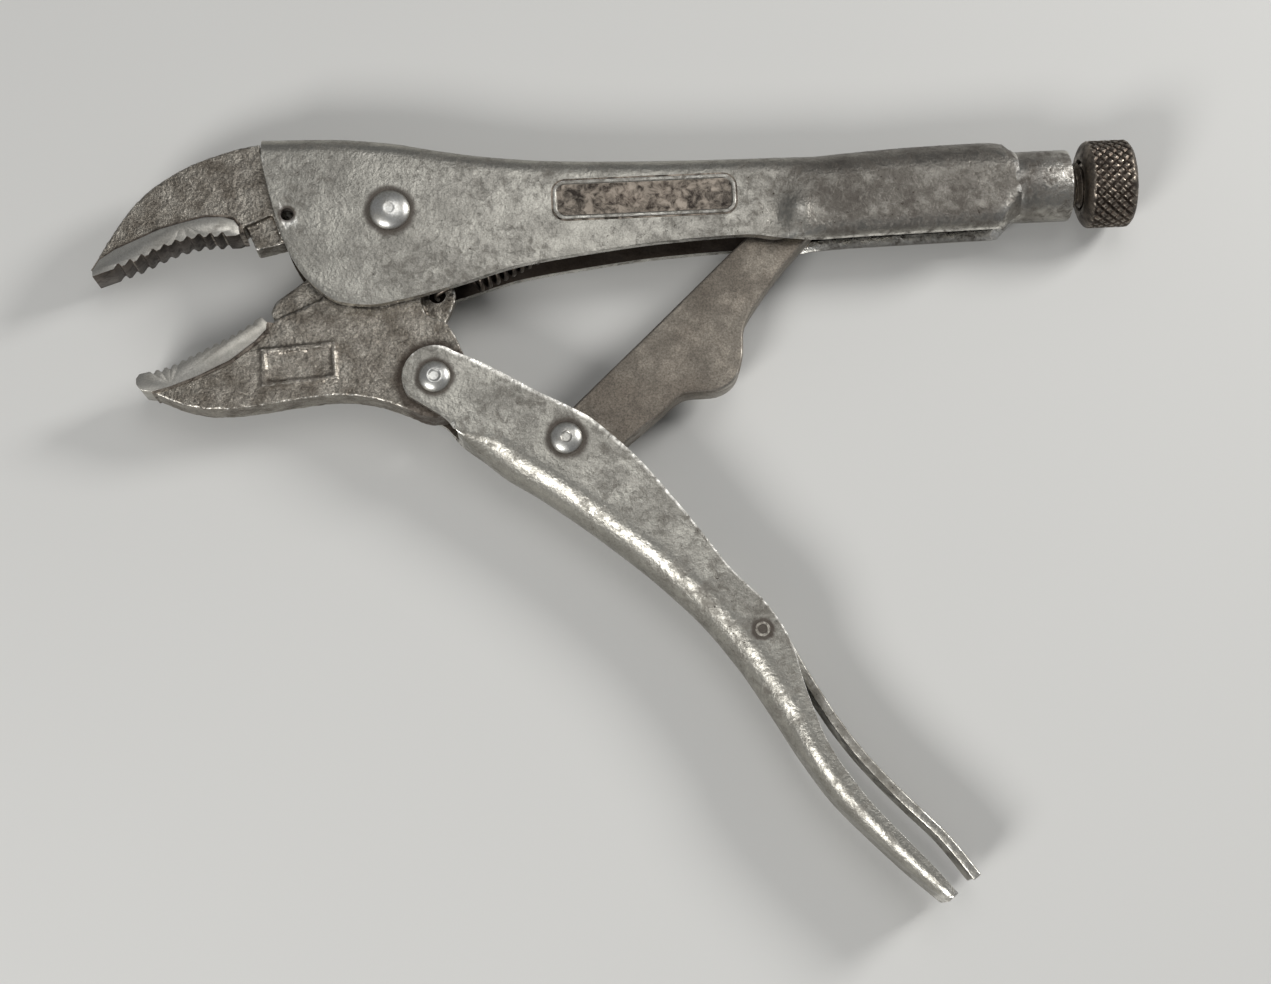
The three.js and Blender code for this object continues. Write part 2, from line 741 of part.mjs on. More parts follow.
add("upper_handle", upperHandle(), nickelSteel());
add("upper_jaw", upperJaw(), forgedSteel());
add("jaw_rivet", rivet(JAW_PIVOT, JAW_RIVET_RADIUS, JAW_RIVET_HEAD, JAW_RIVET_DOME), rivetSteel());
add("lower_jaw", lowerJaw(), forgedSteel());
add("lower_handle", lowerHandle(), nickelSteel());
add(
  "handle_rivet",
  rivet(HANDLE_PIVOT, SMALL_RIVET_RADIUS, SMALL_RIVET_HEAD, SMALL_RIVET_DOME),
  rivetSteel(),
);
add(
  "link_rivet",
  rivet(LINK_PIVOT, SMALL_RIVET_RADIUS, SMALL_RIVET_HEAD, SMALL_RIVET_DOME),
  rivetSteel(),
);
add("toggle_link", toggleLink(), forgedSteel());
add("release_lever", releaseLever(), nickelSteel());
add("release_lever_pin", releaseLeverPin(), darkSteel());
add("adjusting_screw", adjustingScrew(), darkSteel());
add("adjusting_knob", adjustingKnob(), nickelSteel());
add("return_spring", returnSpring(), darkSteel());

// The part lies on its side, with the middle of its base at the origin.
const extent = new THREE.Box3().setFromObject(group, true);
const middle = extent.getCenter(new THREE.Vector3());
for (const mesh of group.children) {
  mesh.geometry.translate(-middle.x, -middle.y, -extent.min.z);
}

export default group;
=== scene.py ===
"""Old curved-jaw locking pliers, lying open on one side on a pale floor.

Every piece is drawn in the pliers' own plane, in millimetres from the jaw pivot: x runs back along
the adjusting screw, y up towards the upper handle's back, z along the pivots from mid-width.
"""

import math

import bpy
from mathutils import Matrix, Vector


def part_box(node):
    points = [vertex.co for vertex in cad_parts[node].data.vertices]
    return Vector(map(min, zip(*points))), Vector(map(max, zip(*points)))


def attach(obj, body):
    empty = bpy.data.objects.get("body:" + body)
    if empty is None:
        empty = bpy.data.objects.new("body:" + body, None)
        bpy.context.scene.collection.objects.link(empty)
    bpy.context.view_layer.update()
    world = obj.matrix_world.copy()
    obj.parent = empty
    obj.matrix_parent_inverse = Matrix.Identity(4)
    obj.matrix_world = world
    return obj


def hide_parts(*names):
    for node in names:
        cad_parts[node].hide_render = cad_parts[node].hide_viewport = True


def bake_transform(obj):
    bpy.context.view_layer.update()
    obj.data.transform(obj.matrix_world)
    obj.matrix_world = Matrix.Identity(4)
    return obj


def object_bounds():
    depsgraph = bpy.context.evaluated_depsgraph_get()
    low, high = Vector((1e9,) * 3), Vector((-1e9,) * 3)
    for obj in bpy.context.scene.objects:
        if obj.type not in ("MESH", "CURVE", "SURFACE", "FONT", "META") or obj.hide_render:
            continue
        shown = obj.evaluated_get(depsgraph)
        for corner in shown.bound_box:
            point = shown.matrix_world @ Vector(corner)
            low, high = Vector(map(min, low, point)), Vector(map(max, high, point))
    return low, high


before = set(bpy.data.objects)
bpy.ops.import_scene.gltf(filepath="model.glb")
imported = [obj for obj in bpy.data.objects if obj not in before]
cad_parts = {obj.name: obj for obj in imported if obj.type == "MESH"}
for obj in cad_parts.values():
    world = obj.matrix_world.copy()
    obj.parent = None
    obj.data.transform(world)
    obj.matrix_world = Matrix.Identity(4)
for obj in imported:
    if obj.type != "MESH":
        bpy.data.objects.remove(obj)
CAD_BOX = [list(corner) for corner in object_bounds()]

bl_info = {
    "name": "Locking pliers",
    "version": (1, 0, 0),
    "blender": (4, 5, 0),
    "location": "3D Viewport > Sidebar > Pliers",
    "description": "Builds worn locking pliers round their CAD frame",
    "category": "Object",
}

MM = 0.001
MM_PER_METRE = 1000


def linear(code):
    """Linear colour from an sRGB hex value."""
    channels = [int(code[i : i + 2], 16) / 255 for i in (1, 3, 5)]
    return (*[c / 12.92 if c <= 0.04045 else ((c + 0.055) / 1.055) ** 2.4 for c in channels], 1)


def middle(node):
    """Centre of a CAD node's box."""
    low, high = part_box(node)
    return (Vector(low) + Vector(high)) / 2


JAW_PIVOT = middle("jaw_rivet")
HANDLE_PIVOT = middle("handle_rivet")
LINK_PIVOT = middle("link_rivet")
LEVER_PIVOT = middle("release_lever_pin")
LOWER_TILT = math.radians(-48.6)
SCREW_HEIGHT = 1.3
ALONG, UP, ACROSS = Vector((1, 0, 0)), Vector((0, 1, 0)), Vector((0, 0, 1))


def spot(x, y, z=0.0):
    """A place in the row frame, from millimetres about the jaw pivot."""
    return JAW_PIVOT + Vector((x, y, z)) * MM


def spot_on_lower(x, y, z=0.0):
    """A place in the row frame, from millimetres along the lower handle from its pivot."""
    turned_point = Matrix.Rotation(LOWER_TILT, 3, "Z") @ Vector((x, y, 0))
    return HANDLE_PIVOT + (turned_point + Vector((0, 0, z))) * MM


# ---- Sizes and colours a user would change ----


class PliersSizes(bpy.types.PropertyGroup):
    sheet: bpy.props.FloatProperty(
        name="Sheet thickness", description="Thickness of the pressed handles", default=2.4 * MM, unit="LENGTH"
    )
    handle_width: bpy.props.FloatProperty(
        name="Handle width", description="Outside width of both channels", default=15.6 * MM, unit="LENGTH"
    )
    edge_round: bpy.props.FloatProperty(
        name="Edge rounding", description="Rounding worn onto the sheet's edges", default=0.4 * MM, unit="LENGTH"
    )
    tooth_depth: bpy.props.FloatProperty(
        name="Tooth depth", description="Depth of the upper jaw's teeth", default=0.9 * MM, unit="LENGTH"
    )
    thread_pitch: bpy.props.FloatProperty(
        name="Thread pitch", description="Pitch of the adjusting screw", default=25.4 / 14 * MM, unit="LENGTH"
    )
    knurl_pitch: bpy.props.FloatProperty(
        name="Knurl pitch", description="Distance between the knurl's points round the knob", default=2.6 * MM,
        unit="LENGTH",
    )
    wire: bpy.props.FloatProperty(
        name="Spring wire", description="Diameter of the return spring's wire", default=1.1 * MM, unit="LENGTH"
    )


class PliersColours(bpy.types.PropertyGroup):
    bright_nickel: bpy.props.FloatVectorProperty(
        name="Bright nickel", description="Plating where hands keep it bright", subtype="COLOR", size=4,
        default=linear("#aeaba2"),
    )
    dull_nickel: bpy.props.FloatVectorProperty(
        name="Dull nickel", description="Plating that has clouded over", subtype="COLOR", size=4,
        default=linear("#95928a"),
    )
    oxide: bpy.props.FloatVectorProperty(
        name="Oxide", description="Dark stains where the plating is gone", subtype="COLOR", size=4,
        default=linear("#5a544b"),
    )
    grime: bpy.props.FloatVectorProperty(
        name="Grime", description="Old oil caught round the rivets", subtype="COLOR", size=4,
        default=linear("#33261b"),
    )
    forged: bpy.props.FloatVectorProperty(
        name="Forged steel", description="Skin of the forged jaws", subtype="COLOR", size=4,
        default=linear("#a8a297"),
    )
    ground: bpy.props.FloatVectorProperty(
        name="Ground steel", description="Ground gripping strips", subtype="COLOR", size=4,
        default=linear("#c4c1b9"),
    )
    rivet: bpy.props.FloatVectorProperty(
        name="Rivet steel", description="Polished rivet heads", subtype="COLOR", size=4,
        default=linear("#d4d3ce"),
    )
    black: bpy.props.FloatVectorProperty(
        name="Blackened steel", description="Oily threads and knurl", subtype="COLOR", size=4,
        default=linear("#5d544c"),
    )
    floor: bpy.props.FloatVectorProperty(
        name="Floor", description="Plain pale floor", subtype="COLOR", size=4,
        default=linear("#cdccc8"),
    )


# ---- Making and shaping ----


def only(thing):
    """Leaves one object selected and active."""
    bpy.ops.object.select_all(action="DESELECT")
    thing.select_set(True)
    bpy.context.view_layer.objects.active = thing
    return thing


def named(name):
    made = bpy.context.active_object
    made.name = name
    made.data.name = name
    return made


def in_edit(thing, *steps):
    """Runs edit-mode steps, starting with the whole mesh selected."""
    only(thing)
    bpy.ops.object.mode_set(mode="EDIT")
    bpy.ops.mesh.select_all(action="SELECT")
    for step in steps:
        step()
    bpy.ops.object.mode_set(mode="OBJECT")


def tidy_mesh(thing):
    in_edit(
        thing,
        lambda: bpy.ops.mesh.remove_doubles(threshold=0.002 * MM),
        lambda: bpy.ops.mesh.normals_make_consistent(inside=False),
    )


def modified(thing, kind, **settings):
    """Adds a modifier and applies it."""
    only(thing)
    modifier = thing.modifiers.new(kind.title(), kind)
    for name, value in settings.items():
        setattr(modifier, name, value)
    bpy.ops.object.modifier_apply(modifier=modifier.name)


def bevelled(thing, width, segments, angle):
    """Rounds the edges sharper than an angle; width is in millimetres."""
    modified(thing, "BEVEL", width=width * MM, segments=segments, limit_method="ANGLE",
             angle_limit=math.radians(angle))


def after_picking(thing, kind, wanted, *steps):
    """Runs edit-mode steps on the edges or faces that pass the test."""
    only(thing)
    bpy.ops.object.mode_set(mode="EDIT")
    bpy.ops.mesh.select_mode(type=kind)
    bpy.ops.mesh.select_all(action="DESELECT")
    bpy.ops.object.mode_set(mode="OBJECT")
    for part in thing.data.polygons if kind == "FACE" else thing.data.edges:
        part.select = wanted(part)
    bpy.ops.object.mode_set(mode="EDIT")
    for step in steps:
        step()
    bpy.ops.mesh.select_mode(type="VERT")
    bpy.ops.object.mode_set(mode="OBJECT")


def sheet(name, columns, rows, place):
    """A grid bent to shape: place takes 0-1 along and 0-1 across."""
    bpy.ops.object.select_all(action="DESELECT")
    bpy.ops.mesh.primitive_grid_add(x_subdivisions=columns, y_subdivisions=rows, size=1)
    made = named(name)
    for point in made.data.vertices:
        point.co = place(point.co.x + 0.5, point.co.y + 0.5)
    return made


def plate(name, points, thickness, place=spot, z=0.0):
    """A flat piece cut to an outline, centred on z."""
    bpy.ops.object.select_all(action="DESELECT")
    bpy.ops.mesh.primitive_circle_add(vertices=len(points), fill_type="NGON")
    made = named(name)
    for point, (x, y) in zip(made.data.vertices, points):
        point.co = place(x, y, z - thickness / 2)
    in_edit(
        made,
        lambda: bpy.ops.mesh.extrude_region_move(TRANSFORM_OT_translate={"value": (0, 0, thickness * MM)}),
        lambda: bpy.ops.mesh.select_all(action="SELECT"),
        lambda: bpy.ops.mesh.normals_make_consistent(inside=False),
    )
    return made


def turned(name, profile, steps, centre, axis, across):
    """A turned piece: profile is (along, radius) in millimetres from the centre."""
    bpy.ops.object.select_all(action="DESELECT")
    bpy.ops.mesh.primitive_circle_add(vertices=len(profile), fill_type="NOTHING")
    made = named(name)
    for point, (along, radius) in zip(made.data.vertices, profile):
        point.co = centre + (axis * along + across * radius) * MM
    on_axis = [point.index for point, (_, radius) in zip(made.data.vertices, profile) if radius == 0]
    if len(on_axis) > 1:
        ends = {on_axis[0], on_axis[-1]}
        after_picking(made, "EDGE", lambda edge: set(edge.vertices) == ends,
                      lambda: bpy.ops.mesh.delete(type="EDGE"))
    in_edit(made, lambda: bpy.ops.mesh.spin(steps=steps, angle=2 * math.pi, center=centre, axis=axis))
    tidy_mesh(made)
    return made


def joined(name, *things):
    only(things[0])
    for thing in things[1:]:
        thing.select_set(True)
    bpy.ops.object.join()
    return named(name)


def cut(thing, *cutters):
    """Cuts the cutters' shapes out of the piece."""
    for cutter in cutters:
        modified(thing, "BOOLEAN", object=cutter, operation="DIFFERENCE", solver="EXACT")
        only(cutter)
        bpy.ops.object.delete()


def drill(place, radius, length=40.0):
    bpy.ops.object.select_all(action="DESELECT")
    bpy.ops.mesh.primitive_cylinder_add(vertices=48, radius=radius * MM, depth=length * MM, location=place)
    made = named("drill")
    bpy.ops.object.transform_apply(location=True, rotation=True, scale=True)
    return made


def finished(thing, body, material, replaced=(), angle=35):
    """Shades a piece, gives it its finish and fixes it to its body; material None keeps the finish it has."""
    only(thing)
    bpy.ops.object.shade_smooth_by_angle(angle=math.radians(angle))
    if material:
        thing.data.materials.clear()
        thing.data.materials.append(material)
    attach(thing, body)
    if replaced:
        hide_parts(*replaced)


def second_finish(thing, material, wanted):
    """Gives the faces that pass the test another finish."""
    thing.data.materials.append(material)
    for face in thing.data.polygons:
        if wanted(face):
            face.material_index = 1


def thickened(thing, outside, inside):
    """Grows a channel's wall inwards, with one finish on the outside and the edges and another on the inside."""
    facing = sum(face.normal.z * (face.center.z - JAW_PIVOT.z) * face.area for face in thing.data.polygons)
    if facing < 0:
        in_edit(thing, lambda: bpy.ops.mesh.flip_normals())
    for material in (outside, inside):
        thing.data.materials.append(material)
    modified(thing, "SOLIDIFY", thickness=bpy.context.scene.pliers_sizes.sheet, offset=-1, use_even_offset=True,
             material_offset=1)


def half_width():
    """Half the handles' outside width, in millimetres."""
    return bpy.context.scene.pliers_sizes.handle_width / MM / 2


def height_at(points, x):
    """Height at x on a smooth line through points that run in rising x."""
    last = len(points) - 1
    i = 0
    while i < last - 1 and x > points[i + 1][0]:
        i += 1

    def slope(a, b):
        return (b[1] - a[1]) / (b[0] - a[0])

    here = slope(points[i], points[i + 1])
    before = slope(points[i - 1], points[i]) if i > 0 else here
    after = slope(points[i + 1], points[i + 2]) if i < last - 1 else here
    start = 2 * before * here / (before + here) if before * here > 0 else 0
    end = 2 * after * here / (after + here) if after * here > 0 else 0
    span = points[i + 1][0] - points[i][0]
    t = min(max((x - points[i][0]) / span, 0), 1)
    value = (1 + 2 * t) * (1 - t) ** 2 * points[i][1] + t * (1 - t) ** 2 * span * start
    return value + t * t * (3 - 2 * t) * points[i + 1][1] + t * t * (t - 1) * span * end


def smooth(points, steps):
    """Points of a smooth curve through the given points."""
    padded = [points[0], *points, points[-1]]
    curve = []
    spans = len(points) - 1
    for k in range(steps + 1):
        position = k / steps * spans
        i = min(int(position), spans - 1)
        t = position - i
        a, b, c, d = padded[i : i + 4]
        curve.append(tuple(
            0.5 * (2 * b[n] + (c[n] - a[n]) * t + (2 * a[n] - 5 * b[n] + 4 * c[n] - d[n]) * t * t
                   + (3 * b[n] - a[n] - 3 * c[n] + d[n]) * t ** 3)
            for n in (0, 1)
        ))
    return curve


def arc(centre, radius, start, end, steps):
    points = []
    for k in range(steps + 1):
        angle = math.radians(start + (end - start) * k / steps)
        points.append((centre[0] + radius * math.cos(angle), centre[1] + radius * math.sin(angle)))
    return points


def ease(value, start, end):
    """0 before start, 1 after end, smooth between."""
    t = min(max((value - start) / (end - start), 0), 1)
    return t * t * (3 - 2 * t)


def blend_of(a, b, t):
    return a + (b - a) * t


# ---- Materials ----


MIX_A, MIX_B, MIX_RESULT = 6, 7, 2


def add_node(tree, kind, inputs=None, **settings):
    """Adds a shader node with its settings; an input is a value, a socket, or a node for its main output."""
    made = tree.nodes.new("ShaderNode" + kind)
    for name, value in settings.items():
        setattr(made, name, value)
    for key, value in (inputs or {}).items():
        if isinstance(value, bpy.types.Node):
            value = value.outputs[MIX_RESULT if value.bl_idname == "ShaderNodeMix" else 0]
        if isinstance(value, bpy.types.NodeSocket):
            tree.links.new(value, made.inputs[key])
        else:
            made.inputs[key].default_value = value
    return made


def blank_material(name):
    material = bpy.data.materials.get(name) or bpy.data.materials.new(name)
    material.use_nodes = True
    material.node_tree.nodes.clear()
    return material, material.node_tree


SPECK, FINEST = 0.9, 0.45
BACK_BROWN = linear("#3f3732")
POLISHED_AND_HIGHLIGHT = linear("#efece4")


def weathered(name, bright, dull, oxide, patch, lump, roughness, oxide_share=0.5, pits=0.5, grime=(),
              wear=linear("#e3dfd4"), wear_from=0.53, relief=0.05, grain=None, stain_depth=0.6, sparkle=0.45,
              aged=None):
    """Bare or plated steel with clouding, oxide stains, pits, worn edges brightened also as a painted highlight, and
    grime round given points.

    patch is the size of a stain, lump that of a dent and relief the bump's depth, all in millimetres.
    sparkle is the contrast of the finest grain. aged is (start, end, share): between two distances back from the
    jaw pivot that share of the surface's brightness goes over to a darker brown. grime is a list of
    (centre, radius, width) rings and grain a (direction, width) of fine scratches, both in millimetres.
    """
    dirt_colour = bpy.context.scene.pliers_colours.grime
    material, tree = blank_material(name)
    place = add_node(tree, "TexCoord").outputs["Object"]
    fields = []
    for size, detail, rough, distortion in (
        (patch * 3.2, 5.0, 0.6, 0.0),
        (patch, 8.0, 0.68, 0.4),
        (patch * 9, 2.0, 0.5, 0.0),
        (SPECK, 3.0, 0.6, 0.0),
        (lump, 2.5, 0.5, 0.0),
        (FINEST, 2.0, 0.7, 0.0),
    ):
        fields.append(add_node(tree, "TexNoise", {"Vector": place, "Scale": MM_PER_METRE / size, "Detail": detail,
                                                  "Roughness": rough, "Distortion": distortion}))
    cloud, stain, region, speck, dents, fine = fields
    clouded = add_node(tree, "MapRange", {"Value": cloud, "From Min": 0.30, "From Max": 0.70},
                       interpolation_type="SMOOTHSTEP")
    lifted = add_node(tree, "Math", {0: region, 1: 0.55}, operation="MULTIPLY")
    summed = add_node(tree, "Math", {0: stain, 1: lifted}, operation="ADD")
    if aged:
        start, end, share = aged
        along = add_node(tree, "SeparateXYZ", {0: place}).outputs["X"]
        towards_back = add_node(tree, "MapRange", {"Value": along, "From Min": JAW_PIVOT.x + start * MM,
                                            "From Max": JAW_PIVOT.x + end * MM, "To Max": share},
                         interpolation_type="SMOOTHSTEP")
        summed = add_node(tree, "Math", {0: towards_back, 1: 0.10, 2: summed}, operation="MULTIPLY_ADD")
    edge = 0.94 - 0.24 * oxide_share
    stained = add_node(tree, "MapRange", {"Value": summed, "From Min": edge - 0.12, "From Max": edge + 0.14},
                       interpolation_type="SMOOTHSTEP")
    near_stains = add_node(tree, "Math", {0: stained, 1: 0.06, 2: speck}, operation="MULTIPLY_ADD")
    pitted = add_node(tree, "MapRange", {"Value": near_stains, "From Min": 0.74 - 0.1 * pits,
                                         "From Max": 0.80 - 0.1 * pits})
    colour = add_node(tree, "Mix", {0: clouded, MIX_A: bright, MIX_B: dull}, data_type="RGBA")
    # Crystals and rub marks under a millimetre across break the tone up.
    colour = add_node(tree, "Mix", {0: sparkle, MIX_A: colour, MIX_B: fine}, data_type="RGBA",
                      blend_type="OVERLAY")
    layers = [(add_node(tree, "Math", {0: stained, 1: stain_depth}, operation="MULTIPLY"), oxide)]
    if aged:
        uneven = add_node(tree, "MapRange", {"Value": cloud, "From Min": 0.35, "From Max": 0.65, "To Min": 0.7})
        layers.append((add_node(tree, "Math", {0: towards_back, 1: uneven}, operation="MULTIPLY"), BACK_BROWN))
    layers.append((add_node(tree, "Math", {0: pitted, 1: 0.7}, operation="MULTIPLY"), dirt_colour))
    # Hollows keep their dirt. Edges are brightened, partly as wear where they rub on hands and pockets, partly as a
    # painted highlight along the rims.
    pointiness = add_node(tree, "NewGeometry").outputs["Pointiness"]
    hollow = add_node(tree, "MapRange", {"Value": pointiness, "From Min": 0.485, "From Max": 0.445,
                                         "To Max": 0.75})
    raised = add_node(tree, "MapRange", {"Value": pointiness, "From Min": wear_from,
                                         "From Max": wear_from + 0.06})
    broken = add_node(tree, "MapRange", {"Value": stain, "From Min": 0.62, "From Max": 0.40})
    rubbed_and_highlit = add_node(tree, "Math", {0: raised, 1: broken}, operation="MULTIPLY")
    layers += [(hollow, dirt_colour), (rubbed_and_highlit, wear)]
    rough = add_node(tree, "MapRange", {"Value": stained, "To Min": roughness[0], "To Max": roughness[1]})
    metal = add_node(tree, "MapRange", {"Value": stained, "To Min": 1.0, "To Max": 0.72})
    rough_changes = [(clouded, 0.10), (rubbed_and_highlit, -0.12)]
    # Old oil and dirt gather in a ring round each point, thin and broken at its rim.
    dirt = None
    flat = add_node(tree, "VectorMath", {0: place, 1: (1, 1, 0)}, operation="MULTIPLY")
    for centre, reach, spread in grime:
        distance = add_node(tree, "VectorMath", {0: flat, 1: (centre.x, centre.y, 0)},
                            operation="DISTANCE").outputs["Value"]
        ragged = add_node(tree, "Math", {0: stain, 1: -spread * MM * 0.9, 2: distance}, operation="MULTIPLY_ADD")
        ring = add_node(tree, "MapRange", {"Value": ragged, "From Min": (reach - 0.25 * spread) * MM,
                                           "From Max": (reach + 0.65 * spread) * MM, "To Min": 1.0, "To Max": 0.0},
                        interpolation_type="SMOOTHSTEP")
        dirt = add_node(tree, "Math", {0: dirt, 1: ring}, operation="MAXIMUM") if dirt else ring
    if dirt:
        dirt = add_node(tree, "Math", {0: dirt, 1: 0.8}, operation="MULTIPLY")
        layers.append((dirt, dirt_colour))
        rough_changes.append((dirt, 0.2))
        metal = add_node(tree, "Math", {0: dirt, 1: -0.6, 2: metal}, operation="MULTIPLY_ADD")
    for share, over in layers:
        colour = add_node(tree, "Mix", {0: share, MIX_A: colour, MIX_B: over}, data_type="RGBA")
    for share, change in rough_changes:
        rough = add_node(tree, "Math", {0: share, 1: change, 2: rough}, operation="MULTIPLY_ADD")
    height_changes = [(speck, 0.45), (pitted, -0.8), (stained, -0.35)]
    if grain:
        direction, width = grain
        stretched = add_node(tree, "Mapping", {"Vector": place, "Rotation": (0, 0, direction),
                                               "Scale": (14, 1, 1)}, vector_type="TEXTURE")
        lines = add_node(tree, "TexNoise", {"Vector": stretched, "Scale": MM_PER_METRE / width, "Detail": 3.0,
                                            "Roughness": 0.6})
        height_changes.append((lines, 0.6))
    height = dents
    for share, change in height_changes:
        height = add_node(tree, "Math", {0: share, 1: change, 2: height}, operation="MULTIPLY_ADD")
    bump = add_node(tree, "Bump", {"Height": height, "Strength": 1.0, "Distance": relief * MM})
    shader = add_node(tree, "BsdfPrincipled", {"Base Color": colour, "Metallic": metal, "Roughness": rough,
                                               "Normal": bump})
    add_node(tree, "OutputMaterial", {"Surface": shader})
    return material


def nickel_plate(name, grime=(), **changes):
    """Nickel plate over pressed sheet: warm grey, clouded, stained dark where the plating has gone."""
    colours = bpy.context.scene.pliers_colours
    # The bright edge colour and its low threshold paint a highlight along the sheet's rims as well as wear.
    settings = dict(patch=2.4, lump=1.0, roughness=(0.33, 0.50), oxide_share=0.27, pits=0.4, relief=0.12,
                    wear=POLISHED_AND_HIGHLIGHT, wear_from=0.515)
    settings.update(changes)
    return weathered(name, colours.bright_nickel, colours.dull_nickel, colours.oxide, grime=grime, **settings)


def forged_skin(name, grime=(), **changes):
    """Drop-forged steel: a scaly skin, darker and rougher than the plated sheet."""
    colours = bpy.context.scene.pliers_colours
    settings = dict(patch=1.5, lump=0.8, roughness=(0.34, 0.52), oxide_share=0.32, pits=0.5, relief=0.26,
                    stain_depth=0.5, sparkle=0.9, wear=POLISHED_AND_HIGHLIGHT, wear_from=0.52)
    settings.update(changes)
    shades = [settings.pop("bright", colours.forged), settings.pop("dull", linear("#736c62"))]
    return weathered(name, *shades, linear("#4b453d"), grime=grime, **settings)


def ground_face(name, **changes):
    """Ground steel, smoother and lighter than the forging it was ground from."""
    colours = bpy.context.scene.pliers_colours
    settings = dict(patch=4.0, lump=2.4, roughness=(0.32, 0.48), oxide_share=0.15, pits=0.2, relief=0.03)
    settings.update(changes)
    return weathered(name, colours.ground, linear("#a5a198"), linear("#5f594f"), **settings)


def rivet_steel(name):
    """Bright cold-headed rivet steel, polished by use, with fine scratches."""
    colours = bpy.context.scene.pliers_colours
    return weathered(name, colours.rivet, linear("#bdbab2"), linear("#8d887e"), patch=1.6, lump=0.8,
                     roughness=(0.30, 0.44), oxide_share=0.15, pits=0.3, relief=0.02, wear=linear("#f4f3ee"),
                     grain=(0.9, 0.25))


def oily_black(name, **changes):
    """Blackened, oily steel of threads and knurls, bright only on its points."""
    colours = bpy.context.scene.pliers_colours
    settings = dict(patch=2.0, lump=0.7, roughness=(0.36, 0.55), oxide_share=0.5, pits=0.3, relief=0.02,
                    wear=linear("#a79d90"), wear_from=0.56)
    settings.update(changes)
    return weathered(name, colours.black, linear("#3d3630"), linear("#1e1a17"), **settings)


def channel_shade_and_grime(name):
    """Painted shade on the inside of a pressed channel, a darker finish for its inner faces, with old oil and dirt
    where nothing rubs it off.
    """
    return weathered(name, linear("#5a5148"), linear("#453d36"), linear("#2b2520"), patch=3.0, lump=1.2,
                     roughness=(0.5, 0.7), oxide_share=0.6, pits=0.3, relief=0.08, wear=linear("#8f887b"),
                     wear_from=0.56)


def matt_floor():
    """Matt painted board: pale, with a faint uneven tone."""
    material, tree = blank_material("pale_floor_paint")
    place = add_node(tree, "TexCoord").outputs["Object"]
    tone = add_node(tree, "TexNoise", {"Vector": place, "Scale": 9.0, "Detail": 2.0})
    grain = add_node(tree, "TexNoise", {"Vector": place, "Scale": 900.0, "Detail": 2.0})
    base = bpy.context.scene.pliers_colours.floor
    shade = tuple(c * 0.97 for c in base[:3]) + (1,)
    colour = add_node(tree, "Mix", {0: tone, MIX_A: base, MIX_B: shade}, data_type="RGBA")
    bump = add_node(tree, "Bump", {"Height": grain, "Strength": 0.3, "Distance": 0.02 * MM})
    shader = add_node(tree, "BsdfPrincipled", {"Base Color": colour, "Roughness": 0.85, "Normal": bump})
    add_node(tree, "OutputMaterial", {"Surface": shader})
    return material


# ---- Upper handle ----

UPPER_SPINE = [(-30.4, 20.1), (-14, 19.6), (0, 18.1), (12, 15.6), (24, 13.5), (40, 11.8), (66, 10.7), (92, 10.3),
               (110, 11.4), (128, 12.3), (145, 12.6), (154, 11.2)]
UPPER_EDGE = [(-30.4, 14), (-29.7, 10.5), (-28, 2.6), (-24.6, -8.7), (-19.2, -17.2), (-12.5, -22.2), (-5, -23.2),
              (1.7, -22.3), (16.1, -18.9), (30.6, -14.9), (45, -12.8), (66.7, -10.6), (84.8, -9.9), (97, -11.3),
              (112, -10.8), (154, -10.2)]
FRONT_X, REAR_X = -30.4, 154.0
SWELL_START, SWELL_END = 92, 106
TUBE_START, TUBE_RADIUS, TUBE_END = 149, 8.7, 165.4
THREAD_RADIUS, THREAD_PLAY = 5.55, 0.3
PLUG_HOLE, PLUG_RADIUS = (-24.5, 0.1), 1.6
SPRING_TAB = (64, 4.2)


def channel_section(across, depth, half, corner, curl=0.0):
    """Depth below the spine and z of a point across a rounded channel, from the near edge to the far one."""
    side = 1 if across < 0.5 else -1
    t = across if across < 0.5 else 1 - across
    corner = min(corner, depth * 0.9, half)
    if t < 0.26:
        below = blend_of(depth, corner, (t / 0.26) ** (1 + 0.15 * curl))
        into_curl = max(curl - (depth - below), 0)
        inward = curl - math.sqrt(max(curl ** 2 - into_curl ** 2, 0))
        return below, side * (half - inward)
    if t < 0.44:
        angle = (t - 0.26) / 0.18 * math.pi / 2
        return corner * (1 - math.sin(angle)), side * (half - corner * (1 - math.cos(angle)))
    return 0.0, side * (half - corner) * (0.5 - t) / 0.06


def upper_handle_point(along, across):
    """Flat channel in front, swelling at x 92-106 to a round back half, then drawn in to the screw tube."""
    x = blend_of(FRONT_X, REAR_X, along ** 1.25)
    spine = height_at(UPPER_SPINE, x)
    depth = spine - height_at(UPPER_EDGE, x)
    half = half_width()
    swell = ease(x, SWELL_START, SWELL_END)
    below, z = channel_section(across, depth, blend_of(half, 8.5, swell), blend_of(4.5, 8.2, swell), 4.0 * swell)
    y = spine - below
    side = math.copysign(1, z)
    if abs(z) > half - 1.5:
        # The press pushes the wall out sharply low down, where the round half begins.
        push = math.exp(-((x - 98.0) / 3.2) ** 2 - ((y + 4.8) / 4.0) ** 2)
        pull = math.exp(-((x - 92.6) / 2.4) ** 2 - ((y + 4.8) / 4.4) ** 2)
        z += side * (1.25 * push - 0.75 * pull)
    limit = blend_of(15.5, TUBE_RADIUS - 0.15, ease(x, 143.5, 153.0))
    reach = math.hypot(y - SCREW_HEIGHT, z)
    if x > 143 and reach > limit:
        y = SCREW_HEIGHT + (y - SCREW_HEIGHT) * limit / reach
        z *= limit / reach
    return spot(x, y, z)


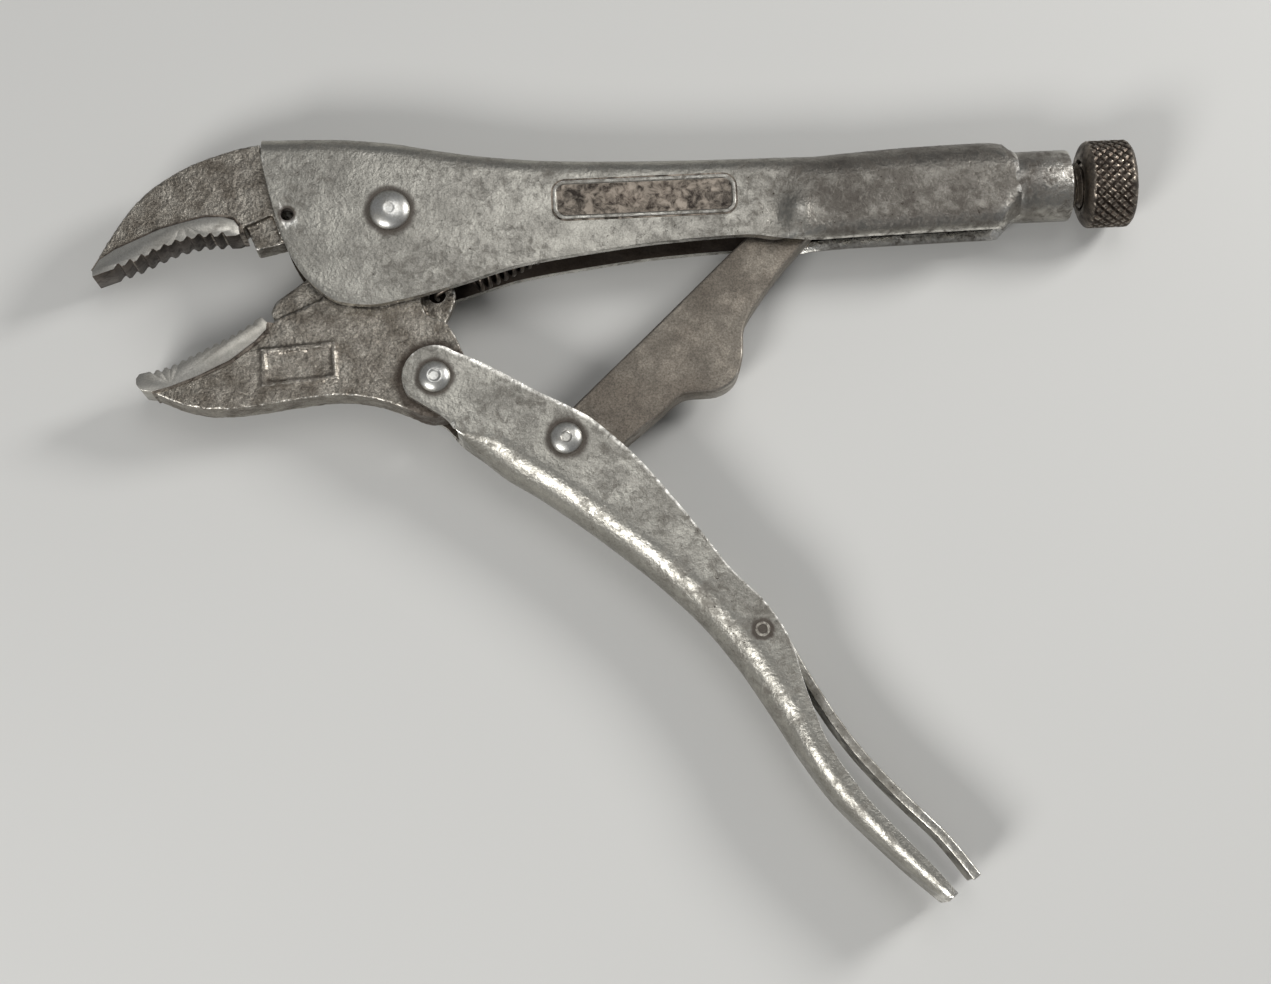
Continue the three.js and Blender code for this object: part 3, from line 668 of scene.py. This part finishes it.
def screw_tube():
    bore = THREAD_RADIUS + THREAD_PLAY
    profile = [(TUBE_START, bore), (TUBE_START, TUBE_RADIUS - 1.2), (151.5, TUBE_RADIUS - 0.1), (154, TUBE_RADIUS),
               (TUBE_END - 0.7, TUBE_RADIUS), (TUBE_END - 0.2, TUBE_RADIUS - 0.2), (TUBE_END, TUBE_RADIUS - 0.7),
               (TUBE_END, bore + 0.5), (TUBE_END - 0.5, bore)]
    return turned("screw_tube", profile, 96, spot(0, SCREW_HEIGHT), ALONG, UP)


def border_outline(width, height, radius):
    """A rounded rectangle in the middle of the upper handle's flat side."""
    centre = (61.2, 0.6)
    outline = []
    for sx, sy, start in ((1, 1, 0), (-1, 1, 90), (-1, -1, 180), (1, -1, 270)):
        corner = (centre[0] + sx * (width / 2 - radius), centre[1] + sy * (height / 2 - radius))
        outline += arc(corner, radius, start, start + 90, 8)
    return outline


def stamped_border():
    """A plain raised border pressed into the near wall, and a darker flat ring round it."""
    wall = half_width()
    groove = plate("stamped_border_groove", border_outline(44.9, 10.5, 3.4), 0.5, z=wall - 0.19)
    finished(groove, "frame", oily_black("dark_ring_round_border"))
    made = plate("stamped_border", border_outline(44.0, 9.6, 3.0), 1.0, z=wall - 0.1)
    after_picking(
        made,
        "FACE",
        lambda face: face.normal.z > 0.9,
        lambda: bpy.ops.mesh.inset(thickness=0.75 * MM, depth=0),
        lambda: bpy.ops.mesh.inset(thickness=0.18 * MM, depth=-0.36 * MM),
    )
    bevelled(made, 0.12, 2, 40)
    return made


class PLIERS_OT_upper_handle(bpy.types.Operator):
    """Pressed upper handle with its screw tube and plain stamped border"""

    bl_idname = "pliers.upper_handle"
    bl_label = "Upper handle"

    def execute(self, context):
        sizes = context.scene.pliers_sizes
        body = sheet("upper_handle_channel", 150, 50, upper_handle_point)
        tidy_mesh(body)
        plated = nickel_plate("nickel_plated_upper_handle",
                              [(JAW_PIVOT, 5.0, 1.8), (spot(*PLUG_HOLE), 1.7, 0.8)], aged=(78, 112, 0.62))
        # The inner faces get a darker finish: painted shade inside the channel, with some grime.
        thickened(body, plated, channel_shade_and_grime("shade_and_grime_inside_upper_handle"))
        cut(body, drill(spot(*PLUG_HOLE), PLUG_RADIUS))
        bevelled(body, sizes.edge_round / MM, 3, 50)
        tab_outline = [(61, 9.5), (61, 4.2), *arc(SPRING_TAB, 3, 180, 360, 12), (67, 4.2), (67, 9.5)]
        tab = plate("spring_tab", tab_outline, 1.6)
        cut(tab, drill(spot(*SPRING_TAB), 1.25))
        tube = screw_tube()
        for piece in (tube, tab):
            piece.data.materials.append(plated)
        whole = joined("upper_handle_shell", body, tube, tab)
        finished(whole, "frame", None, ["upper_handle"])
        finished(stamped_border(), "frame", nickel_plate("nickel_plated_border", oxide_share=0.6))
        return {"FINISHED"}


# ---- Jaws ----


def teeth(line, start, end, count, depth):
    """A row of teeth cut into a smooth line between two plain lands, each a little different, as old teeth are."""
    pitch = (end - start) / count
    points = [line[0]]
    for i in range(count):
        x = start + i * pitch
        uneven = 0.12 * math.sin(7.1 * i + 0.6)
        points.append((x, height_at(line, x)))
        crest = x + 0.26 * pitch
        points.append((crest, height_at(line, crest)))
        valley = x + (0.58 + 0.3 * uneven) * pitch
        points.append((valley, height_at(line, valley) - depth * (1 + uneven)))
        points.append((valley + 0.12 * pitch, height_at(line, valley + 0.12 * pitch) - depth * (1 + uneven)))
    points += [(end, height_at(line, end)), line[-1]]
    return points


def beside(line, first, last):
    """A copy of a line moved to its right, by one distance at its first point and another at its last."""
    moved = []
    for i, (x, y) in enumerate(line):
        before, after = line[max(i - 1, 0)], line[min(i + 1, len(line) - 1)]
        dx, dy = after[0] - before[0], after[1] - before[1]
        distance = blend_of(first, last, (i / (len(line) - 1)) ** 0.5) / math.hypot(dx, dy)
        moved.append((x + dy * distance, y - dx * distance))
    return moved


def painted_shadow_step(name, back, first, last, body):
    """A dark plate along the back of a toothed strip: a painted shadow of the step where the strip stands proud of
    the forging.
    """
    step = plate(name, [*beside(back, first, last), *reversed(back)], JAW_WIDTH - 0.16)
    finished(step, body, oily_black(name + "_dirt"))


def forge(name, parts, voxel, dents, cutters=()):
    """Joins overlapping parts into one forging with soft edges and a slightly uneven skin."""
    whole = joined(name, *parts)
    modified(whole, "REMESH", mode="VOXEL", voxel_size=voxel * MM, adaptivity=0)
    modified(whole, "SMOOTH", factor=0.5, iterations=4)
    clouds = bpy.data.textures.new(name + "_dents", "CLOUDS")
    clouds.noise_scale = 1.4 * MM
    clouds.noise_depth = 2
    modified(whole, "DISPLACE", texture=clouds, strength=dents * MM, mid_level=0.5, texture_coords="LOCAL")
    cut(whole, *cutters)
    tidy_mesh(whole)
    return whole


UPPER_TEETH = [(-71.4, -12.6), (-65.8, -10.8), (-61.3, -9.3), (-56, -6.9), (-50.1, -4.8), (-45, -4.0), (-37.2, -4.0)]
UPPER_JAW = [(-70.6, -11.5),
             *smooth([(-70.9, -9.3), (-66, -1.2), (-59.5, 6.9), (-50, 13.4), (-39.1, 17.4), (-31, 19)], 24),
             (-30.9, 16.4), (-10, 15.2), *arc((0, 0), 10, 115, 170, 8), (-11.4, 0.6), (-15.2, -2.2), (-26.4, -5.2),
             (-28.4, 1.1), (-34.8, -1.4), (-36.4, -3.2), (-50, -2.6), (-62, -7.6)]
UPPER_STRIP_BACK = [(-36.2, -3.6), (-36.4, -1.6), (-37.6, 0.1), (-40.2, 1.0), (-44.7, 1.1), (-50, 0), (-55.4, -1.4),
                    (-60.7, -3.7), (-66.1, -6), (-69.8, -8.4), (-71.5, -11)]
LOWER_TEETH = [(-60.6, -36.9), (-54.3, -35.6), (-48.9, -33.3), (-43.4, -30.7), (-37.9, -28), (-31.6, -24.2)]
LOWER_STRIP_BACK = [(-30.2, -25.6), (-30.5, -27.4), (-33.1, -30.1), (-39.2, -34.5), (-46.9, -38), (-53.2, -40.2),
                    (-57.7, -41.3), (-60.2, -40.9), (-61.4, -39.4), (-61.4, -38)]
JAW_WIDTH, FORGING_WIDTH, CUTTER_WIDTH = 10.2, 9.4, 7.0
STRIP_ROUND = 0.22
HANDLE_AT = (9.2, -41.5)
SPRING_EYE = (10.3, -19.8)


class PLIERS_OT_upper_jaw(bpy.types.Operator):
    """Fixed upper jaw: forging, ground toothed strip and wire cutter"""

    bl_idname = "pliers.upper_jaw"
    bl_label = "Upper jaw"

    def execute(self, context):
        body = plate("upper_jaw_body", UPPER_JAW, FORGING_WIDTH)
        cutter = plate("upper_cutter", [(-34.8, -0.9), (-28, 1.9), (-25.2, -5.2), (-25.6, -5.9), (-32.5, -7.3)],
                       CUTTER_WIDTH)
        forging = forge("upper_jaw_forging", [body, cutter], 0.32, 0.30)
        cut(forging, drill(spot(*PLUG_HOLE), PLUG_RADIUS))
        finished(forging, "frame", forged_skin("forged_upper_jaw"), ["upper_jaw"], angle=50)
        depth = context.scene.pliers_sizes.tooth_depth / MM
        strip = plate("upper_teeth", [*teeth(UPPER_TEETH, -67.2, -39.4, 10, -depth), *UPPER_STRIP_BACK], JAW_WIDTH)
        bevelled(strip, STRIP_ROUND, 2, 25)
        finished(strip, "frame", ground_face("ground_upper_teeth"), ["upper_jaw"])
        # The teeth's down-facing faces get a dark finish: painted shade and dark reflection on that side, with some
        # dirt.
        second_finish(strip, oily_black("shade_and_dirt_under_upper_teeth"), lambda face: face.normal.y < -0.25)
        # Painted shadow along the back of the upper strip.
        painted_shadow_step("upper_strip_step", UPPER_STRIP_BACK, 1.1, 0.25, "frame")
        return {"FINISHED"}


class PLIERS_OT_lower_jaw(bpy.types.Operator):
    """Moving lower jaw: forging with a blank recessed panel, ground toothed strip, cutter and spring eye"""

    bl_idname = "pliers.lower_jaw"
    bl_label = "Lower jaw"

    def execute(self, context):
        outline = [
            *smooth([(-58.6, -41), (-49.1, -45.2), (-38.3, -46.3), (-16.6, -44.2), (-5.8, -45.3), (3, -48.6)], 24),
            *arc(HANDLE_AT, 9.2, 245, 400, 16), (14.2, -30.6), (12.4, -27.5), (7.6, -25.5), (6.4, -22), (8.2, -12),
            *arc((0, 0), 9.4, -20, 200, 28), (-13.6, -13), (-17.1, -20.5), (-28.2, -25), (-30, -26.5), (-33, -30),
            (-47, -37), (-56, -40),
        ]
        body = plate("lower_jaw_body", outline, FORGING_WIDTH)
        cutter = plate("lower_cutter",
                       [(-28.2, -26), (-29.4, -22.6), (-28.1, -20.2), (-21.6, -15.7), (-12, -10), (-14, -19)],
                       CUTTER_WIDTH)
        pivot_lug = plate("jaw_lug", arc((0, 0), 8.8, 0, 352.5, 47), JAW_WIDTH)
        handle_lug = plate("handle_lug", arc(HANDLE_AT, 8.4, 0, 352.5, 47), JAW_WIDTH)
        eye = plate("spring_eye", [(4, -28), (12, -27), (13.4, -24.4), (14.7, -21.4),
                                   *arc(SPRING_EYE, 4.4, -20, 120, 12), (2, -14)], 3.0)
        # The panel is a shallow recess inside a low raised border.
        border = plate("panel_border", [(-31.8, -32.2), (-14.2, -31.2), (-14.0, -40.2), (-31.8, -41.4)],
                       FORGING_WIDTH + 1.2)
        recess = [(-30.9, -33.1), (-15.1, -32.2), (-14.9, -39.4), (-30.9, -40.5)]
        cut(border, *[plate("panel_recess", recess, 1.4, z=side * (FORGING_WIDTH / 2 + 0.6)) for side in (1, -1)])
        forging = forge("lower_jaw_forging", [body, cutter, pivot_lug, handle_lug, eye, border], 0.34, 0.32,
                        [drill(spot(*SPRING_EYE), 2.1)])
        finished(forging, "lower_jaw", forged_skin("forged_lower_jaw", [(HANDLE_PIVOT, 8.4, 2.0)]),
                 ["lower_jaw"], angle=50)
        depth = 0.75 * context.scene.pliers_sizes.tooth_depth / MM
        strip = plate("lower_teeth", [*teeth(LOWER_TEETH, -58.6, -33, 13, depth), *LOWER_STRIP_BACK], JAW_WIDTH)
        bevelled(strip, STRIP_ROUND, 2, 25)
        finished(strip, "lower_jaw", ground_face("ground_lower_teeth"), ["lower_jaw"])
        # Painted shadow along the back of the lower strip.
        painted_shadow_step("lower_strip_step", LOWER_STRIP_BACK[:7], -1.3, -0.6, "lower_jaw")
        return {"FINISHED"}


# ---- Lower handle ----

LOWER_SPINE = [(-1.07, -7.62), (4, -6.3), (9.4, -4.9), (13.4, -5.3), (26.4, -4.3), (37.2, -1.6), (54.2, 1.7),
               (72.7, 4.1), (84.8, 4.7), (99.8, 3.5), (107.7, 2.1), (124.2, -1.0), (138.9, -2.7), (157.7, -2.0),
               (170.6, -0.6)]
LOWER_EDGE = [(-1.3, 7.6), (3.2, 9.6), (10.4, 12.2), (19.7, 15.1), (27.6, 18), (34, 19.8), (48, 20.8), (60.9, 20.1),
              (71.9, 19.0), (82.7, 17.9), (90.9, 18.2), (98, 17.4), (104, 15.6), (111.9, 11.4), (117.4, 8.8),
              (125.2, 5.6), (132.7, 3.9), (145.5, 2.6), (162.6, 2.6), (170.6, 2.2)]
LUG_RADIUS = 7.7
BACK_START = 13.4


def lower_handle_point(along, across):
    """Two round lugs in front, then a channel with an almost full-round back that narrows to the tail."""
    x = blend_of(-LUG_RADIUS + 0.02, LOWER_SPINE[-1][0], along ** 1.3)
    if x < -1.07:
        spine = -math.sqrt(LUG_RADIUS ** 2 - x * x)
    else:
        spine = height_at(LOWER_SPINE, x)
    edge = math.sqrt(LUG_RADIUS ** 2 - x * x) if x < -1.3 else height_at(LOWER_EDGE, x)
    half = half_width()
    depth = edge - spine
    corner = blend_of(0.0, 7.2, ease(x, BACK_START - 1.5, BACK_START + 10))
    corner = min(corner, blend_of(9, depth * 0.72, ease(x, 100, 125)))
    below, z = channel_section(across, depth, half, corner)
    return spot_on_lower(x, spine + below, z)


class PLIERS_OT_lower_handle(bpy.types.Operator):
    """Pressed lower handle"""

    bl_idname = "pliers.lower_handle"
    bl_label = "Lower handle"

    def execute(self, context):
        sizes = context.scene.pliers_sizes
        body = sheet("lower_handle_shell", 150, 50, lower_handle_point)
        start = (spot_on_lower(BACK_START, 0) - HANDLE_PIVOT).length
        forward = (spot_on_lower(1, 0) - spot_on_lower(0, 0)).normalized()
        half = sizes.handle_width / 2

        def over_the_gap(face):
            inside = abs(face.center.z - JAW_PIVOT.z) < half - 0.02 * MM
            return inside and (face.center - HANDLE_PIVOT).dot(forward) < start

        after_picking(body, "FACE", over_the_gap, lambda: bpy.ops.mesh.delete(type="FACE"))
        in_edit(body, lambda: bpy.ops.mesh.remove_doubles(threshold=0.01 * MM))
        plated = nickel_plate("nickel_plated_lower_handle", [(HANDLE_PIVOT, 3.9, 1.3), (LINK_PIVOT, 4.0, 1.8),
                                                             (LEVER_PIVOT, 2.1, 1.0)], oxide_share=0.42)
        # The inner faces get a darker finish: painted shade inside the channel, with some grime.
        thickened(body, plated, channel_shade_and_grime("shade_and_grime_inside_lower_handle"))
        bevelled(body, sizes.edge_round / MM, 3, 50)
        finished(body, "lower_handle", None, ["lower_handle"])
        return {"FINISHED"}


# ---- Link and lever ----


class PLIERS_OT_toggle_link(bpy.types.Operator):
    """Toggle link with its stop shoulder and rounded foot"""

    bl_idname = "pliers.toggle_link"
    bl_label = "Toggle link"

    def execute(self, context):
        at = (LINK_PIVOT - JAW_PIVOT) / MM
        foot = (103.3, 1.2)
        outline = [
            *arc(at, 6.0, 140, 300, 16), (47.5, -63.4), (54.2, -58.5),
            *smooth([(63.1, -51.5), (66.6, -48.6), (69.6, -47.5), (76.6, -47.1), (81, -44.2), (82.9, -38.5)], 22),
            *smooth([(83.2, -33.5), (84.9, -29.1), (92.5, -18.9), (100.4, -10.5), (105.5, -5)], 14),
            *arc(foot, 5.2, -20, 145, 16), (84.3, -10.4), (59.8, -32.9), (41.6, -49.4),
        ]
        link = plate("toggle_link_bar", outline, 8.0)
        bevelled(link, 0.7, 4, 60)
        finish = forged_skin("forged_toggle_link", bright=linear("#8f887d"), dull=linear("#776f65"), patch=5.5,
                             oxide_share=0.40, pits=0.2, relief=0.035, roughness=(0.36, 0.50), grain=(0.72, 0.5),
                             stain_depth=0.35)
        finished(link, "toggle_link", finish, ["toggle_link"])
        return {"FINISHED"}


LEVER_LINE = [(82.2, 12.6), (88, 15.3), (95, 16.2), (103, 15.1), (112, 12.8), (124, 10.3), (135, 9.1), (147, 9.0),
              (160, 9.4), (171.6, 8.3)]


class PLIERS_OT_release_lever(bpy.types.Operator):
    """Release lever inside the lower handle, with its two ears"""

    bl_idname = "pliers.release_lever"
    bl_label = "Release lever"

    def execute(self, context):
        path = smooth(LEVER_LINE, 90)
        half = 4.8

        def lever_point(along, across):
            x, y = path[round(along * 90)]
            side = across * 2 - 1
            dish = 0.5 * (1 - side * side)
            return spot_on_lower(x, y + dish, side * half)

        strip = sheet("release_lever_strip", 90, 10, lever_point)
        modified(strip, "SOLIDIFY", thickness=2.2 * MM, offset=0)
        bevelled(strip, 0.5, 3, 50)
        offset = LEVER_PIVOT - HANDLE_PIVOT
        at = Matrix.Rotation(-LOWER_TILT, 3, "Z") @ offset / MM
        ears = []
        for side in (1, -1):
            outline = [*arc((at.x, at.y), 3.7, 180, 360, 16), (at.x + 6.2, at.y + 2.2), (at.x - 6.2, at.y + 2.2)]
            ear = plate("lever_ear", outline, 2.2, spot_on_lower, side * 3.7)
            bevelled(ear, 0.4, 2, 50)
            ears.append(ear)
        whole = joined("release_lever_strip", strip, *ears)
        finished(whole, "release_lever", nickel_plate("nickel_plated_lever", oxide_share=0.6, patch=4.5),
                 ["release_lever"])
        return {"FINISHED"}


# ---- Rivets and pin ----


def rivet(name, centre, head, dome, flat, dimple):
    """Domed rivet with a flattened top and a shallow dished mark from setting it."""
    half = half_width()
    base = half + 0.1
    side = [(half - 1.0, head - 1.3), (half, head - 0.15), (base, head - 0.04)]
    last_angle = math.acos(flat / head)
    for k in range(13):
        angle = last_angle * k / 12
        side.append((base + dome * math.sin(angle), head * math.cos(angle)))
    top = side[-1][0]
    side += [(top - dimple * 0.8, flat * 0.9), (top - dimple, flat * 0.6), (top - dimple * 0.9, 0.0)]
    profile = [(-along, radius) for along, radius in reversed(side)] + side
    return turned(name, profile, 64, centre, ACROSS, ALONG)


class PLIERS_OT_rivets(bpy.types.Operator):
    """Jaw rivet, handle rivet, link rivet and the lever's roll pin"""

    bl_idname = "pliers.rivets"
    bl_label = "Rivets and pin"

    def execute(self, context):
        for name, body, centre, sizes in (
            ("jaw_rivet", "frame", JAW_PIVOT, (4.9, 2.0, 1.3, 0.03)),
            ("handle_rivet", "lower_handle", HANDLE_PIVOT, (3.8, 1.7, 1.5, 0.16)),
            ("link_rivet", "lower_handle", LINK_PIVOT, (3.8, 1.7, 1.4, 0.20)),
        ):
            made = rivet(name + "_domed", centre, *sizes)
            finished(made, body, rivet_steel("polished_" + name), [name], angle=60)
        half = half_width()
        profile = [(-half + 0.4, 1.7), (-half + 0.15, 1.9), (half - 0.15, 1.9), (half + 0.1, 1.7),
                   (half + 0.1, 1.15), (half - 0.2, 0.95), (-half + 0.4, 0.95)]
        pin = turned("rolled_pin", profile, 48, LEVER_PIVOT, ACROSS, ALONG)
        steel = oily_black("rolled_pin_steel", wear=linear("#c9c4b8"), wear_from=0.52)
        finished(pin, "lower_handle", steel, ["release_lever_pin"])
        return {"FINISHED"}


# ---- Adjusting screw and knob ----

SCREW_TIP, THREAD_START, THREAD_DEPTH = 114.8, 117.5, 0.95
KNOB_RADIUS = 10.6
KNOB_START, KNURL_START, KNURL_END, KNOB_END = 168.3, 170.2, 179.5, 180.9
SOCKET_END = 175.9


class PLIERS_OT_adjusting_screw(bpy.types.Operator):
    """Adjusting screw with a real helical thread"""

    bl_idname = "pliers.adjusting_screw"
    bl_label = "Adjusting screw"

    def execute(self, context):
        pitch = context.scene.pliers_sizes.thread_pitch / MM
        root = THREAD_RADIUS - THREAD_DEPTH
        centre = spot(0, SCREW_HEIGHT)
        back_end = SOCKET_END - 0.3
        core = turned("screw_core", [(SCREW_TIP, 0.0), (SCREW_TIP, 2.6), (SCREW_TIP + 0.4, 3.4),
                                     (SCREW_TIP + 2, root + 0.1), (back_end, root + 0.1), (back_end, 0.0)],
                      64, centre, ALONG, UP)
        turns = int((SOCKET_END - 0.8 - THREAD_START) / pitch)
        bpy.ops.object.select_all(action="DESELECT")
        bpy.ops.mesh.primitive_circle_add(vertices=4, fill_type="NOTHING")
        thread = named("screw_thread")
        ridge = [(0.04, root), (0.44, THREAD_RADIUS), (0.56, THREAD_RADIUS), (0.96, root)]
        for point, (share, radius) in zip(thread.data.vertices, ridge):
            point.co = Vector((share * pitch * MM, radius * MM, 0))
        modified(thread, "SCREW", axis="X", angle=2 * math.pi, steps=48, render_steps=48, iterations=turns,
                 screw_offset=pitch * MM, use_merge_vertices=True, merge_threshold=0.001 * MM)
        for point in thread.data.vertices:
            point.co += centre + ALONG * THREAD_START * MM
        whole = joined("adjusting_screw_threaded", core, thread)
        in_edit(
            whole,
            lambda: bpy.ops.mesh.fill_holes(sides=8),
            lambda: bpy.ops.mesh.select_all(action="SELECT"),
            lambda: bpy.ops.mesh.normals_make_consistent(inside=False),
        )
        finished(whole, "screw", oily_black("oily_screw_thread"), ["adjusting_screw"])
        return {"FINISHED"}


def knob_profile():
    """(x, radius, knurl depth share) from the socket round the back shoulder to the middle of the end face."""
    socket = THREAD_RADIUS + THREAD_PLAY
    back = [(0, socket + 0.5), (0, 7.6), (0.15, 8.3), (0.5, 9.1), (0.9, 9.8), (1.3, 10.25), (1.6, 10.45)]
    rows = [(SOCKET_END, 0.01, 0), (SOCKET_END, socket, 0), (KNOB_START + 0.5, socket, 0)]
    rows += [(KNOB_START + x, radius, 0) for x, radius in back]
    rows.append((KNURL_START, KNOB_RADIUS, 0.4))
    steps = 34
    rows += [(blend_of(KNURL_START, KNURL_END, k / steps), KNOB_RADIUS, 1.0) for k in range(1, steps)]
    face = [(1.0, 10.4, 0.3), (0.6, 9.9, 0.1), (0.2, 9.4, 0), (0, 8.8, 0), (0, 6, 0), (0, 3, 0), (0.15, 1.2, 0),
            (0.2, 0.01, 0)]
    rows.append((KNURL_END, KNOB_RADIUS, 0.6))
    rows += [(KNOB_END - x, radius, share) for x, radius, share in face]
    return rows


class PLIERS_OT_adjusting_knob(bpy.types.Operator):
    """Diamond-knurled adjusting knob"""

    bl_idname = "pliers.adjusting_knob"
    bl_label = "Adjusting knob"

    def execute(self, context):
        pitch = context.scene.pliers_sizes.knurl_pitch / MM
        diamonds = round(2 * math.pi * KNOB_RADIUS / pitch)
        pitch = 2 * math.pi * KNOB_RADIUS / diamonds
        columns = diamonds * 8
        rows = knob_profile()
        centre = spot(0, SCREW_HEIGHT)

        def knob_point(along, across):
            x, radius, share = rows[round(across * (len(rows) - 1))]
            round_way = round(along * columns) / columns * diamonds
            lengthways = (x - KNURL_START) / pitch
            ridge = min(abs(2 * ((round_way + way * lengthways) % 1) - 1) for way in (1, -1))
            radius += share * (0.50 * min(ridge * 2.2, 1) - 0.45)
            angle = 2 * math.pi * round_way / diamonds
            return centre + Vector((x, radius * math.cos(angle), radius * math.sin(angle))) * MM

        knob = sheet("adjusting_knob_knurled", columns, len(rows) - 1, knob_point)
        in_edit(knob, lambda: bpy.ops.mesh.remove_doubles(threshold=0.012 * MM))
        tidy_mesh(knob)
        steel = oily_black("oily_knurled_knob", wear=linear("#b3a99b"), wear_from=0.505)
        finished(knob, "knob", steel, ["adjusting_knob"], angle=40)
        return {"FINISHED"}


# ---- Return spring ----


class PLIERS_OT_return_spring(bpy.types.Operator):
    """Tension spring between the lower jaw's eye and the tab in the upper handle"""

    bl_idname = "pliers.return_spring"
    bl_label = "Return spring"

    def execute(self, context):
        start, end = Vector((18.5, -16.4, 0)), Vector((55.5, 0.6, 0))
        along = (end - start).normalized()
        up = Vector((-along.y, along.x, 0))
        radius, coils, per_coil = 3.1, 19, 16
        eye, tab = Vector((*SPRING_EYE, 0)), Vector((*SPRING_TAB, 0))
        path = [eye + Vector((0, 0, -2.4)), eye + Vector((-0.5, -0.3, 0)), eye + Vector((0, 0, 2.2)),
                eye + Vector((3.4, 1.4, radius))]
        for k in range(coils * per_coil + 1):
            turn = 2 * math.pi * k / per_coil
            middle_line = start.lerp(end, k / (coils * per_coil))
            path.append(middle_line + Vector((0, 0, radius * math.cos(turn))) + up * radius * math.sin(turn))
        path += [tab + Vector((-4.6, -1.6, radius - 0.4)), tab + Vector((0, 0, 2.2)), tab + Vector((0.3, 0.2, 0)),
                 tab + Vector((0, 0, -2.0))]
        bpy.ops.object.select_all(action="DESELECT")
        bpy.ops.curve.primitive_nurbs_path_add()
        wire = named("return_spring_coil")
        wire.data.splines.clear()
        spline = wire.data.splines.new("NURBS")
        spline.points.add(len(path) - 1)
        for point, place in zip(spline.points, path):
            point.co = (*spot(*place), 1)
        spline.order_u = 3
        spline.use_endpoint_u = True
        spline.resolution_u = 2
        wire.data.bevel_depth = context.scene.pliers_sizes.wire / 2
        wire.data.bevel_resolution = 2
        wire.data.use_fill_caps = True
        only(wire)
        bpy.ops.object.convert(target="MESH")
        bpy.ops.object.shade_smooth()
        wire.data.materials.append(oily_black("oily_spring_wire"))
        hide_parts("return_spring")
        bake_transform(wire)
        return {"FINISHED"}


# ---- Stage ----


def soft_light(name, place, towards, size, power):
    bpy.ops.object.select_all(action="DESELECT")
    bpy.ops.object.light_add(type="AREA", location=place)
    light = bpy.context.active_object
    light.name = name
    light.data.shape = "DISK"
    light.data.size = size
    light.data.energy = power
    light.rotation_mode = "QUATERNION"
    light.rotation_quaternion = (Vector(towards) - Vector(place)).to_track_quat("-Z", "Y")


class PLIERS_OT_stage(bpy.types.Operator):
    """Pale floor, soft lights and the camera"""

    bl_idname = "pliers.stage"
    bl_label = "Stage"

    def execute(self, context):
        bpy.ops.object.select_all(action="DESELECT")
        bpy.ops.mesh.primitive_plane_add(size=6, location=(0, 0, CAD_BOX[0][2] - 0.2 * MM))
        floor = named("floor")
        floor.data.materials.append(matt_floor())
        world = bpy.data.worlds.get("studio") or bpy.data.worlds.new("studio")
        world.use_nodes = True
        background = world.node_tree.nodes["Background"]
        background.inputs["Color"].default_value = linear("#dcdee2")
        background.inputs["Strength"].default_value = 0.29
        context.scene.world = world
        soft_light("key_light", (-0.45, -0.52, 0.60), (0, 0, 0), 0.34, 4.8)
        soft_light("top_light", (0.12, 0.34, 0.95), (0, 0, 0), 0.55, 1.5)
        soft_light("side_light", (0.72, 0.34, 0.46), (0.08, 0.07, 0), 0.26, 5.0)
        bpy.ops.object.camera_add()
        camera = context.active_object
        camera.name = "camera"
        right = Vector((0.99824, -0.05340, 0.02582))
        up = Vector((0.04756, 0.98073, 0.18948))
        ahead = Vector((0.03544, 0.18792, -0.98154))
        turn = Matrix((right, up, -ahead)).transposed().to_4x4()
        camera.matrix_world = Matrix.Translation(spot(36.07, -172.918, 537.34)) @ turn
        camera.data.lens = 65.15
        camera.data.sensor_width = 36
        camera.data.clip_start = 0.01
        context.scene.camera = camera
        context.scene.view_settings.view_transform = "Standard"
        return {"FINISHED"}


class PLIERS_PT_panel(bpy.types.Panel):
    """Sidebar panel that lists the sizes, the colours and the pieces"""

    bl_idname = "PLIERS_PT_panel"
    bl_label = "Locking pliers"
    bl_space_type = "VIEW_3D"
    bl_region_type = "UI"
    bl_category = "Pliers"

    def draw(self, context):
        for group in (context.scene.pliers_sizes, context.scene.pliers_colours):
            for name in group.__annotations__:
                self.layout.prop(group, name)
        for piece in PIECES:
            self.layout.operator(piece.bl_idname)


PIECES = (PLIERS_OT_upper_handle, PLIERS_OT_upper_jaw, PLIERS_OT_lower_jaw, PLIERS_OT_lower_handle,
          PLIERS_OT_toggle_link, PLIERS_OT_release_lever, PLIERS_OT_rivets, PLIERS_OT_adjusting_screw,
          PLIERS_OT_adjusting_knob, PLIERS_OT_return_spring, PLIERS_OT_stage)
CLASSES = (PliersSizes, PliersColours, *PIECES, PLIERS_PT_panel)


def register():
    for cls in CLASSES:
        bpy.utils.register_class(cls)
    bpy.types.Scene.pliers_sizes = bpy.props.PointerProperty(type=PliersSizes)
    bpy.types.Scene.pliers_colours = bpy.props.PointerProperty(type=PliersColours)


def unregister():
    del bpy.types.Scene.pliers_colours
    del bpy.types.Scene.pliers_sizes
    for cls in reversed(CLASSES):
        bpy.utils.unregister_class(cls)


def main():
    register()
    bpy.ops.pliers.upper_handle()
    bpy.ops.pliers.upper_jaw()
    bpy.ops.pliers.lower_jaw()
    bpy.ops.pliers.lower_handle()
    bpy.ops.pliers.toggle_link()
    bpy.ops.pliers.release_lever()
    bpy.ops.pliers.rivets()
    bpy.ops.pliers.adjusting_screw()
    bpy.ops.pliers.adjusting_knob()
    bpy.ops.pliers.return_spring()
    bpy.ops.pliers.stage()


if __name__ == "__main__":
    main()
